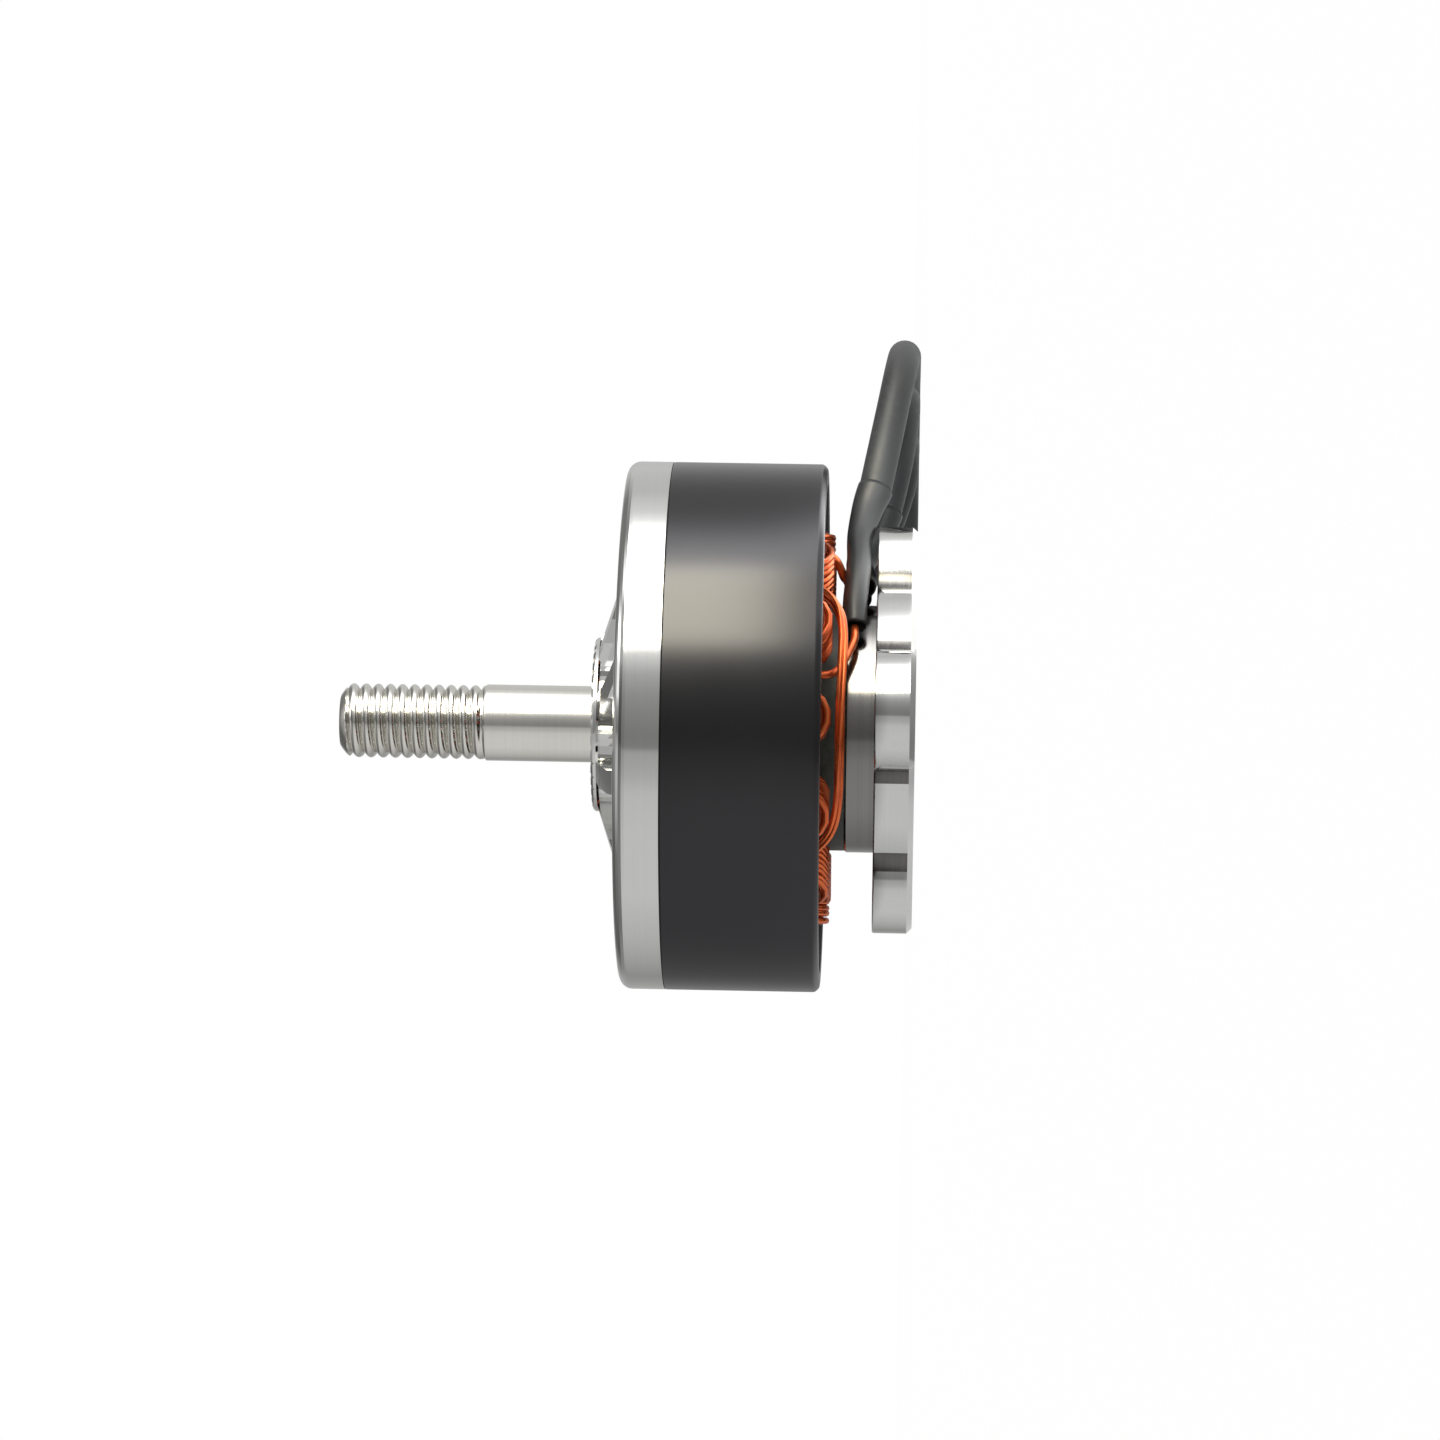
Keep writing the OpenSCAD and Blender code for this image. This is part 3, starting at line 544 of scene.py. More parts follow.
BASE_METAL = Finish(
    "turned_aluminium", (0.66, 0.66, 0.645), (0.63, 0.63, 0.615), 1, 0.09, Pattern.TURNED, 5000,
    relief=0.015, rough_spread=0.02,
)
# Painted shade: this darker finish stands for the shade in the concave fillets between bosses and plate,
# and the dark they reflect.
FILLET_PAINTED_SHADE = Finish(
    "fillet_painted_shade", (0.17, 0.166, 0.16), (0.13, 0.126, 0.12), 1, 0.27, Pattern.STACKED, 6000,
)
# Painted shade: this darker finish stands for the shade on the neck, recessed between the flange and the
# bell.
NECK_PAINTED_SHADE = Finish(
    "neck_painted_shade", (0.25, 0.243, 0.232), (0.21, 0.204, 0.195), 1, 0.14, Pattern.TURNED, 5000,
    relief=0.03, rough_spread=0.03,
)
CAP_METAL = Finish(
    "cap_aluminium", (0.67, 0.67, 0.655), (0.65, 0.65, 0.635), 1, 0.09, Pattern.TURNED, 4000,
    relief=0.01, rough_spread=0.015,
)
SHAFT_STEEL = Finish(
    "ground_steel", (0.75, 0.738, 0.69), (0.7, 0.688, 0.642), 1, 0.14, Pattern.TURNED, 6000,
    relief=0.03, rough_spread=0.03,
)
RING_COAT = Finish(
    "black_ring_coat", (0.048, 0.048, 0.051), (0.044, 0.044, 0.047), 0.94, 0.25, Pattern.GRAIN, 9000,
    relief=0.07, relief_depth=0.00001, rough_spread=0.02,
)
LAMINATION = Finish(
    "stacked_sheets", (0.16, 0.16, 0.17), (0.07, 0.07, 0.075), 0.8, 0.45, Pattern.STACKED, 5000,
)
INSULATOR = Finish(
    "slot_insulation", (0.055, 0.068, 0.06), (0.03, 0.038, 0.034), 0, 0.45, Pattern.GRAIN, 3000,
)
ENAMEL = Finish(
    "enamelled_copper", (0.86, 0.19, 0.055), (0.46, 0.066, 0.02), 0.75, 0.3, Pattern.ALONG, 60,
    coat=0.05, coat_roughness=0.15,
)
# Painted shade: this is the enamelled copper made darker, for the shade on the wire packed under the
# windings.
PACKED_WIRE_PAINTED_SHADE = Finish(
    "packed_wire_painted_shade", (0.34, 0.07, 0.025), (0.12, 0.022, 0.01), 0.6, 0.4, Pattern.STACKED, 2500,
)
SHRINK = Finish("heat_shrink", (0.027, 0.03, 0.034), (0.018, 0.02, 0.023), 0, 0.4, Pattern.ALONG, 40)
SILICONE = Finish(
    "silicone_lead", (0.031, 0.035, 0.04), (0.021, 0.024, 0.027), 0, 0.45, Pattern.GRAIN, 2500,
)
NYLON = Finish("tie_nylon", (0.05, 0.05, 0.052), (0.035, 0.035, 0.037), 0, 0.42, Pattern.GRAIN, 2500)
MAGNET = Finish("magnet_plating", (0.42, 0.42, 0.43), (0.3, 0.3, 0.31), 1, 0.32, Pattern.GRAIN, 2500)
CLIP_STEEL = Finish("spring_steel", (0.2, 0.2, 0.21), (0.12, 0.12, 0.13), 1, 0.35, Pattern.GRAIN, 4000)
BEARING_STEEL = Finish("bearing_steel", (0.6, 0.6, 0.6), (0.5, 0.5, 0.5), 1, 0.14, Pattern.TURNED, 6000)
CAGE_BRASS = Finish("cage_brass", (0.6, 0.42, 0.16), (0.45, 0.3, 0.1), 1, 0.3, Pattern.GRAIN, 4000)
TINNED = Finish("tinned_strands", (0.62, 0.61, 0.58), (0.4, 0.39, 0.36), 1, 0.3, Pattern.GRAIN, 4000)


@dataclass
class Piece:
    """What each new piece is given once its mesh stands."""

    finish: Finish
    slot: str
    body: str = "root"
    replaces: tuple[str, ...] = ()

    def dress(self, piece: Object) -> Object:
        """Gives a piece its material and its body, and hides the CAD nodes that it stands for.

        Args:
            piece: The new object.

        Returns:
            The same object.
        """
        piece.data.materials.clear()
        piece.data.materials.append(self.finish.material())
        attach(piece, self.body)
        if self.replaces:
            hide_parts(*self.replaces)
        log.info("piece %s: %d faces", piece.name, len(piece.data.polygons))
        return piece


# Sub-assemblies


@dataclass
class Lead:
    """One silicone lead from its sleeve to its bare tinned end, and the sleeve over its joint."""

    letter: str
    route_mm: list[list[float]]
    sleeve_mm: list[list[float]]
    growth_share: list[float]
    diameter: float = 2.2 * MM
    sleeve_wall: float = 0.15 * MM
    sleeve_tail_d: float = 1.6 * MM
    tip_length: float = 1.3 * MM
    tip_r: float = 0.62 * MM
    tip_lobes: int = 7
    lobe_depth: float = 0.09
    lobe_turn: float = 1.5
    length: float = 0.110
    spacing: float = 0.5 * MM
    sleeve_spacing: float = 0.25 * MM
    smoothing: int = 4
    sides: int = 24
    tip_sides: int = 42
    sleeve_sides: int = 32
    waves: Pair = (1.7 * MM, 5.3 * MM)
    wave_share: float = 0.012
    ripple_length: float = 0.9 * MM
    ripple_share: float = 0.02
    flat_share: float = 0.035
    slack_share: float = 0.03
    turned_in: tuple[int, int] = (7, 3)

    def build(self, room: np.ndarray) -> None:
        """Makes the lead, its tinned tip and its sleeve.

        The lead is a round tube on its route, a little thinner here and there: its radius is
        multiplied by one plus the product of two sines of the length along it, never over one.

        Args:
            room: Lowest and highest corner of the CAD. The lead is pressed flat where it would
                pass them, under 0.1 mm, as on the floor.
        """
        path = spline(np.array(self.route_mm) * MM, self.spacing)
        run = lengths(path)
        wave = 1 + self.wave_share * np.sin(run / self.waves[0]) * np.sin(run / self.waves[1] + 1)
        r = self.diameter / 2 * np.minimum(wave, 1)
        grid = np.clip(tube(path, r, self.sides, UP), room[0], room[1])
        lead = surface(f"silicone_lead_{self.letter}", grid, capped=True)
        Piece(SILICONE, "silicone_lead", replaces=(f"lead_{self.letter}",)).dress(crisp(lead, degrees=50))
        tip = self._tip(path)
        self._sleeve()

    def _tip(self, path: np.ndarray) -> Object:
        """Tinned strands that stand out of the lead's end.

        The strands' outline is a circle whose radius drops by the size of a sine between its seven
        lobes. The lobes turn slowly along the tip, and the radius closes to a rounded end.

        Args:
            path: Centre line of the lead.

        Returns:
            The tip.
        """
        way = path[-1] - path[-2]
        way /= np.linalg.norm(way)
        s = np.array([-0.6, 0, 0.3, 0.6, 0.8, 0.92, 0.98, 1.0])
        line = path[-1] + way * (s * self.tip_length)[:, None]
        a = angles(self.tip_sides)
        turned = a[None] + self.lobe_turn * s[:, None]
        lobes = 1 - self.lobe_depth * np.abs(np.sin(self.tip_lobes / 2 * turned))
        end = np.interp(s, [0.8, 0.92, 0.98, 1.0], [1, 0.93, 0.75, 0.45])
        grid = tube(line, self.tip_r * lobes * end[:, None], len(a), UP)
        tip = surface(f"tinned_tip_{self.letter}", grid, capped=True)
        return Piece(TINNED, "enamelled_copper").dress(tip)

    def _sleeve(self) -> None:
        """Heat-shrink sleeve, open at the winding end, shrunk tight on the lead at the other.

        The radius grows from the wires' to the lead's as the growth shares say, which are one a
        route point and are evened out by a running mean. Shallow ripples and two flattened sides
        make it a shrunk tube. At both ends the wall turns in and back.
        """
        path = spline(np.array(self.sleeve_mm) * MM, self.sleeve_spacing)
        run = lengths(path)
        knots = lengths(np.array(self.sleeve_mm) * MM)
        share = np.interp(run * knots[-1] / run[-1], knots, self.growth_share)
        reach = self.smoothing
        mean = np.ones(2 * reach + 1) / (2 * reach + 1)
        share = np.convolve(np.pad(share, reach, mode="edge"), mean, mode="valid")
        lead_r = self.diameter / 2 + self.sleeve_wall
        tail_r = self.sleeve_tail_d / 2
        outer = tail_r + (lead_r - tail_r) * share
        a = angles(self.sleeve_sides)
        along = np.sin(run / self.ripple_length)
        ripple = self.ripple_share * along[:, None] * np.cos(a + 0.6)[None]
        flat = self.flat_share * np.cos(2 * a)[None] * (1 - share)[:, None]
        skin = outer[:, None] * (1 + ripple - self.slack_share + flat)
        inner = skin - self.sleeve_wall
        mouth, tight = self.turned_in
        rows = np.arange(len(path))
        order = np.concatenate([rows[mouth:0:-1], rows, rows[-2:-2 - tight:-1]])
        radii = np.vstack([inner[mouth:0:-1], skin, inner[-2:-2 - tight:-1]])
        radii[mouth] = (skin[0] + inner[0]) / 2
        spread = tube(path, 1.0, len(a), UP) - path[:, None]
        points = path[order][:, None] + spread[order] * radii[..., None]
        sleeve = surface(f"shrunk_sleeve_{self.letter}", points, capped=True)
        Piece(SHRINK, "heat_shrink", replaces=(f"sleeve_{self.letter}",)).dress(sleeve)


@dataclass
class Coils:
    """Windings on the twelve teeth, in three phases."""

    tooth_count: int = 12
    turn_deg: float = 3.5
    wire_r: float = 0.215 * MM
    outer_half: float = 2.0 * MM
    low_z: float = 7.3 * MM
    high_z: float = 14.7 * MM
    inner_r: float = 9.35 * MM
    outer_r: float = 12.72 * MM
    outer_turns: int = 8
    inner_turns: int = 7
    arc_points: int = 8
    side_points: int = 3
    flank_gap: float = 0.04 * MM
    layer_step_share: float = 1.75
    waves: Pair = (0.045 * MM, 0.03 * MM)
    wave_rates: Pair = (0.37, 1.13)
    swell: float = 0.03
    swell_rate: float = 0.29
    tooth_phases: Triple = (2.4, 1.0, 1.7)
    phases: str = "abc"
    sides: int = 8

    def _loop(self, half_w: float) -> np.ndarray:
        """One turn round a tooth: up one flank, round the front end, down the other, round the rear.

        Args:
            half_w: Half the width between the flanks, at the wire's middle.

        Returns:
            Points (sideways, z), n by 2, evenly spread on each arc and each flank.
        """
        steps = self.arc_points - 1
        front = arc(0, self.high_z, half_w, 0, math.pi, steps)
        rear = arc(0, self.low_z, half_w, math.pi, 2 * math.pi, steps)
        height = np.linspace(self.low_z, self.high_z, self.side_points + 2)[1:-1]
        side = np.full(self.side_points, half_w)
        down = np.stack([-side, height[::-1]], -1)
        up = np.stack([side, height], -1)
        return np.vstack([front, down, rear, up])

    def _layer(
        self, name: str, tooth: int, half_w: float, turns: int, start: float, end: float,
    ) -> Object:
        """One layer of a coil as a single wire.

        The loop is repeated once a turn while the wire moves out along the tooth at an even rate.
        Two sines along the wire move it in and out and a third widens the loop and narrows it,
        each with a phase of its own on each tooth, so that the turns lie a little unevenly.

        Args:
            name: Name of the mesh.
            tooth: Number of the tooth.
            half_w: Half the layer's width at the wire's middle.
            turns: Number of turns.
            start: Radius of the first turn from the shaft's axis.
            end: Radius of the last turn.

        Returns:
            The layer as an object.
        """
        loop = self._loop(half_w)
        line = np.tile(loop, (turns, 1))
        share = np.arange(len(line)) / (len(line) - 1)
        way = 2 * np.pi * share * turns
        phases = np.array(self.tooth_phases) * tooth
        slow = self.waves[0] * np.sin(way * self.wave_rates[0] + phases[0])
        quick = self.waves[1] * np.sin(way * self.wave_rates[1] + phases[1])
        radius = start + (end - start) * share + slow + quick
        side = line[:, 0] * (1 + self.swell * np.sin(way * self.swell_rate + phases[2]))
        a = math.radians(self.turn_deg + 360 * tooth / self.tooth_count)
        out, across = polar(1, a, 0), polar(1, a + math.pi / 2, 0)
        points = radius[:, None] * out + side[:, None] * across + line[:, 1, None] * UP
        return surface(name, tube(points, self.wire_r, self.sides, out), capped=True)

    def build(self) -> None:
        """Makes the windings of each phase as one piece, in place of the CAD's turns."""
        outer = self.outer_half - self.wire_r - self.flank_gap
        inner = outer - self.layer_step_share * self.wire_r
        start, end = self.inner_r + self.wire_r, self.outer_r - self.wire_r
        for phase, letter in enumerate(self.phases):
            layers = []
            for tooth in range(phase, self.tooth_count, len(self.phases)):
                layers += [
                    self._layer("outer", tooth, outer, self.outer_turns, self.inner_r, self.outer_r),
                    self._layer("inner", tooth, inner, self.inner_turns, start, end),
                ]
            piece = joined(f"winding_{letter}", layers)
            Piece(ENAMEL, "enamelled_copper", replaces=(f"coil_turns_{letter}",)).dress(piece)


@dataclass
class RearWires:
    """Crossover bundle and the tails that run on the rear of the stator."""

    start_deg: float = -41.5
    end_deg: float = -131.5
    radius: float = 11.75 * MM
    run_z: float = 4.7 * MM
    climb: float = 0.3 * MM
    level_share: float = 0.3
    rise: float = 1.6 * MM
    rise_power: int = 7
    strands: int = 3
    strand_r: float = 0.19 * MM
    twist: Pair = (0.3 * MM, 0.15 * MM)
    twist_turns: float = 0.55
    tail_r: float = 0.26 * MM
    tail_spacing: float = 0.15 * MM
    tail_up: Triple = (0.3, 0.2, 1.0)
    rows: int = 90
    sides: int = 10

    def build(self) -> None:
        """Makes the crossover strands and the three tails."""
        self._crossover()
        self._tails()

    def _crossover(self) -> None:
        """Strands that lie side by side and turn slowly about each other.

        The middle line is an arc round the axis that rises at both ends into the slots. Strand k
        is that line moved round a small oval, by an angle that grows along the way.
        """
        s = np.linspace(0, 1, self.rows)
        a = np.radians(self.start_deg + (self.end_deg - self.start_deg) * s)
        lift = self.rise * np.abs(2 * s - 1) ** self.rise_power
        slope = self.climb * (s - self.level_share)
        parts = []
        for k in range(self.strands):
            turn = 2 * np.pi * (k / self.strands + self.twist_turns * s)
            r = self.radius + self.twist[0] * np.cos(turn)
            z = self.run_z + lift + slope + self.twist[1] * np.sin(turn)
            grid = tube(polar(r, a, z), self.strand_r, self.sides, polar(1, a, 0))
            parts.append(surface("strand", grid, capped=True))
        piece = joined("crossover_bundle", parts)
        Piece(ENAMEL, "enamelled_copper", replaces=("crossover_wires",)).dress(piece)

    def _tails(self) -> None:
        """Each tail is a round wire on a smooth line through its points, into its sleeve."""
        parts = []
        for route in (TAIL_A_MM, TAIL_B_MM, TAIL_C_MM):
            points = spline(np.array(route) * MM, self.tail_spacing)
            grid = tube(points, self.tail_r, self.sides, np.array(self.tail_up))
            parts.append(surface("tail", grid, capped=True))
        piece = joined("winding_tails", parts)
        Piece(ENAMEL, "enamelled_copper", replaces=("tail_wires",)).dress(piece)


@dataclass
class Base:
    """Mounting base: flange with four screw bosses, neck, collar and bearing tube."""

    flange_h: float = 2.6 * MM
    plate_r: float = 9.8 * MM
    boss_r: float = 3.9 * MM
    bolt_r: float = 9.5 * MM
    boss_deg: float = 7.5
    fillet_r: float = 1.4 * MM
    foot_chamfer: float = 0.35 * MM
    edge_break: float = 0.12 * MM
    hole_r: float = 1.25 * MM
    neck_r: float = 8.1 * MM
    neck_z: float = 4.5 * MM
    collar_r: float = 7.0 * MM
    stack_z: float = 7.5 * MM
    tube_r: float = 6.2 * MM
    tube_top: float = 17.5 * MM
    bearing_r: float = 5.0 * MM
    spacer_r: float = 4.3 * MM
    rear_seat_z: float = 5.5 * MM
    front_seat_z: float = 13.5 * MM
    boss_count: int = 4
    hole_chamfer: float = 0.2 * MM
    hole_cut_over: float = 0.6 * MM
    cut_over: float = 1 * MM
    fillet_steps: int = 10
    boss_steps: int = 48
    plate_steps: int = 16
    hole_steps: int = 48
    bore_steps: int = 96
    body_steps: int = 160

    def _outline(self, inset: float) -> np.ndarray:
        """Outline of the flange, drawn in by an inset.

        Each boss is an arc about its screw, the plate an arc about the axis, and a small arc that
        touches both fills the corner between them. One boss's share is turned to every boss.

        Args:
            inset: Distance by which the outline is drawn in.

        Returns:
            Points of the outline against the clock, n by 2.
        """
        x, y = self._fillet_centre()
        plate_a, boss_a = math.atan2(y, x), math.atan2(y, x - self.bolt_r)
        half_step, around = math.pi / self.boss_count, self.fillet_steps
        share = np.vstack([
            arc(x, -y, self.fillet_r + inset, math.pi - plate_a, math.pi - boss_a, around),
            arc(self.bolt_r, 0, self.boss_r - inset, -boss_a, boss_a, self.boss_steps)[1:-1],
            arc(x, y, self.fillet_r + inset, math.pi + boss_a, math.pi + plate_a, around),
            arc(0, 0, self.plate_r - inset, plate_a, 2 * half_step - plate_a, self.plate_steps)[1:-1],
        ])
        a = self._boss_angles()[:, None]
        turned = np.stack([
            share[None, :, 0] * np.cos(a) - share[None, :, 1] * np.sin(a),
            share[None, :, 0] * np.sin(a) + share[None, :, 1] * np.cos(a),
        ], -1)
        return turned.reshape(-1, 2)

    def _boss_angles(self) -> np.ndarray:
        """Angles of the bosses round the axis, in radians."""
        return np.radians(self.boss_deg + 360 / self.boss_count * np.arange(self.boss_count))

    def _flange(self) -> Object:
        """Flange as rings of its outline, drawn in at the foot chamfer and the upper edge.

        Returns:
            The flange, without holes.
        """
        top, e = self.flange_h, self.edge_break
        levels = [
            (0, self.foot_chamfer), (self.foot_chamfer, 0),
            (top - e, 0), (top - 0.3 * e, 0.3 * e), (top, e),
        ]
        rings = [self._outline(inset) for _, inset in levels]
        grid = np.stack([np.column_stack([r, np.full(len(r), z)]) for r, (z, _) in zip(rings, levels)])
        return surface("base", grid, capped=True)

    def _screw_holes(self) -> Object:
        """Cutters for the screw holes: a cylinder longer than the flange, widened at the foot.

        Returns:
            All cutters as one object.
        """
        profile = np.array([
            [self.hole_r + self.hole_chamfer + self.cut_over, -self.cut_over],
            [self.hole_r, self.hole_chamfer],
            [self.hole_r, self.flange_h + self.hole_cut_over],
        ])
        parts = []
        for a in self._boss_angles():
            grid = lathed(profile, self.hole_steps) + polar(self.bolt_r, a, 0)
            parts.append(surface("hole", grid, capped=True))
        return joined("holes", parts)

    def build(self) -> None:
        """Makes the base: flange and turned body joined, then the holes and bores taken away."""
        e = self.edge_break
        body = np.array([
            [self.neck_r, self.flange_h / 2], [self.neck_r, self.flange_h + e],
            [self.neck_r, self.neck_z - e], [self.neck_r - e, self.neck_z],
            [self.collar_r, self.neck_z], [self.collar_r, self.stack_z],
            [self.tube_r, self.stack_z], [self.tube_r, self.tube_top - e],
            [self.tube_r - e, self.tube_top],
        ])
        bores = np.array([
            [self.bearing_r + self.cut_over + self.hole_chamfer, -self.cut_over],
            [self.bearing_r, self.hole_chamfer], [self.bearing_r, self.rear_seat_z],
            [self.spacer_r, self.rear_seat_z], [self.spacer_r, self.front_seat_z],
            [self.bearing_r, self.front_seat_z], [self.bearing_r, self.tube_top + self.cut_over],
        ])
        piece = self._flange()
        carve(piece, surface("body", lathed(body, self.body_steps), capped=True), "UNION")
        carve(piece, self._screw_holes(), "DIFFERENCE")
        carve(piece, surface("bores", lathed(bores, self.bore_steps), capped=True), "DIFFERENCE")
        piece.name = piece.data.name = "machined_base"
        Piece(BASE_METAL, "base_metal", replaces=("base",)).dress(crisp(piece))
        # The neck's side and the fillets get the darker finishes that paint shade on them.
        piece.data.materials.append(NECK_PAINTED_SHADE.material())
        piece.data.materials.append(FILLET_PAINTED_SHADE.material())
        piece.data.polygons.foreach_set("material_index", self._finish_index(piece.data))

    def _finish_index(self, mesh: Mesh) -> np.ndarray:
        """Chooses each face's finish: 1 paints shade on the neck's side, 2 on the fillets, 0 elsewhere.

        A face is upright if its normal rises by less than half its length. A fillet's faces lie
        between the two places where it touches the boss and the plate, as angles round the axis
        from the nearest boss.

        Args:
            mesh: The finished mesh of the base.

        Returns:
            One number a face.
        """
        centre, normal = np.zeros(3 * len(mesh.polygons)), np.zeros(3 * len(mesh.polygons))
        mesh.polygons.foreach_get("center", centre)
        mesh.polygons.foreach_get("normal", normal)
        x, y, z = centre.reshape(-1, 3).T
        upright = np.abs(normal.reshape(-1, 3)[:, 2]) < 0.5
        fillet_x, fillet_y = self._fillet_centre()
        share = self.boss_r / self._boss_reach()
        low = math.degrees(math.atan2(fillet_y * share, self.bolt_r + (fillet_x - self.bolt_r) * share))
        high = math.degrees(math.atan2(fillet_y, fillet_x))
        half_step = 180 / self.boss_count
        round_angle = np.degrees(np.arctan2(y, x)) - self.boss_deg
        folded = np.abs((round_angle + half_step) % (2 * half_step) - half_step)
        fillet = upright & (z < self.flange_h) & (folded > low) & (folded < high)
        wide = np.hypot(x, y) > (self.collar_r + self.neck_r) / 2
        neck = upright & (z > self.flange_h) & (z < self.neck_z) & wide
        return (neck + 2 * fillet).astype(np.int32)

    def _boss_reach(self) -> float:
        """Distance from a boss's middle to the middle of its fillet."""
        return self.boss_r + self.fillet_r

    def _fillet_centre(self) -> Pair:
        """Middle of the fillet between the plate and a boss that lies on the X axis.

        Returns:
            The place (x, y), one fillet radius from both.
        """
        reach = self.plate_r + self.fillet_r
        x = (reach**2 - self._boss_reach() ** 2 + self.bolt_r**2) / (2 * self.bolt_r)
        return x, math.sqrt(reach**2 - x**2)


@dataclass
class Shaft:
    """Motor shaft with its clip groove, its part for the propeller and its threaded end."""

    radius: float = 2.5 * MM
    thread_r: float = 2.43 * MM
    relief_z: Pair = (20.6 * MM, 21.1 * MM)
    relief_depth: float = 0.2 * MM
    foot_z: float = 0.3 * MM
    groove_z: Pair = (0.75 * MM, 1.2 * MM)
    groove_depth: float = 0.5 * MM
    top_z: float = 37.7 * MM
    thread_length: float = 9.55 * MM
    pitch: float = 0.8 * MM
    thread_depth: float = 0.4 * MM
    thread_start_share: float = 0.37
    run_out_share: float = 0.5
    end_length: float = 1.0 * MM
    end_drop: float = 0.8 * MM
    foot_chamfer: float = 0.25 * MM
    edge: float = 0.03 * MM
    row_step: float = 0.04 * MM
    sides: int = 72

    def build(self) -> None:
        """Makes the shaft.

        Its radius is a function of height and angle: constant on the plain part, less in the
        grooves and at the lower chamfer. Towards the top it drops with the square of the way into
        the rounded end. On the thread it drops by 1 - sin(pi s) ** 0.7, where s is the height over
        the pitch less the share of a turn, which winds sharp roots and round crests into a helix.
        """
        start = self.top_z - self.thread_length
        drops = [[self.foot_z, -self.foot_chamfer], [self.foot_z + self.foot_chamfer, 0]]
        grooves = (self.groove_z, self.groove_depth), (self.relief_z, self.relief_depth)
        for (low, high), depth in grooves:
            drops += [[low - self.edge, 0], [low, -depth], [high, -depth], [high + self.edge, 0]]
        drops += [[start - self.edge, 0], [start, self.thread_r - self.radius]]
        known_z, known_drop = np.array(drops).T
        rows = np.arange(start, self.top_z - self.row_step / 2, self.row_step)
        z = np.concatenate([known_z[:-1], rows, [self.top_z]])
        a = angles(self.sides)
        body = np.interp(z, known_z, known_drop)
        share = (z[:, None] / self.pitch - a[None] / (2 * np.pi) + self.thread_start_share) % 1
        tooth = np.sin(np.pi * share) ** 0.7 - 1
        run_out = np.clip((z - start) / (self.run_out_share * self.pitch), 0, 1)
        end = -self.end_drop * np.clip(1 - (self.top_z - z) / self.end_length, 0, 1) ** 2
        cut = self.thread_depth * tooth * run_out[:, None]
        r = self.radius + np.minimum(body[:, None] + cut, end[:, None])
        piece = surface("threaded_shaft", polar(r, a, z[:, None]), capped=True)
        Piece(SHAFT_STEEL, "shaft_steel", "rotor", ("shaft",)).dress(crisp(piece, degrees=40))


@dataclass
class FluxRing:
    """Blackened steel ring with rounded edges."""

    inner_r: float = 16.0 * MM
    outer_r: float = 17.3 * MM
    low_z: float = 5.95 * MM
    high_z: float = 16.05 * MM
    chamfer: float = 0.3 * MM
    edge_r: float = 0.14 * MM
    steps: int = 192

    def build(self) -> None:
        """Makes the ring from an outline with one chamfer, all its corners softened."""
        corners = [
            (self.inner_r, self.low_z), (self.outer_r - self.chamfer, self.low_z),
            (self.outer_r, self.low_z + self.chamfer), (self.outer_r, self.high_z),
            (self.inner_r, self.high_z),
        ]
        outline = rounded(corners, self.edge_r)
        piece = surface("black_flux_ring", lathed(outline, self.steps), wrap_rows=True)
        Piece(RING_COAT, "flux_ring_coat", "rotor", ("flux_ring",)).dress(crisp(piece, degrees=40))


@dataclass
class CadFinishes:
    """Finishes of the CAD nodes that stay as they are.

    Each finish stands beside a word that the node's name holds, and the first that fits counts.
    """

    finishes: tuple[tuple[str, Finish], ...] = (
        ("bell_cap", CAP_METAL), ("stator_core", LAMINATION), ("insulator", INSULATOR),
        ("coil_cores", PACKED_WIRE_PAINTED_SHADE), ("lead_tie", NYLON), ("magnets", MAGNET),
        ("retaining_clip", CLIP_STEEL), ("shim", BEARING_STEEL), ("cage", CAGE_BRASS),
        ("bearing", BEARING_STEEL),
    )

    def dress(self, nodes: dict[str, Object]) -> None:
        """Gives each shown CAD node its material.

        Args:
            nodes: The CAD nodes by name.
        """
        for name, node in nodes.items():
            if node.hide_render:
                continue
            finish = next(finish for word, finish in self.finishes if word in name)
            node.data.materials.clear()
            node.data.materials.append(finish.material())


# Studio


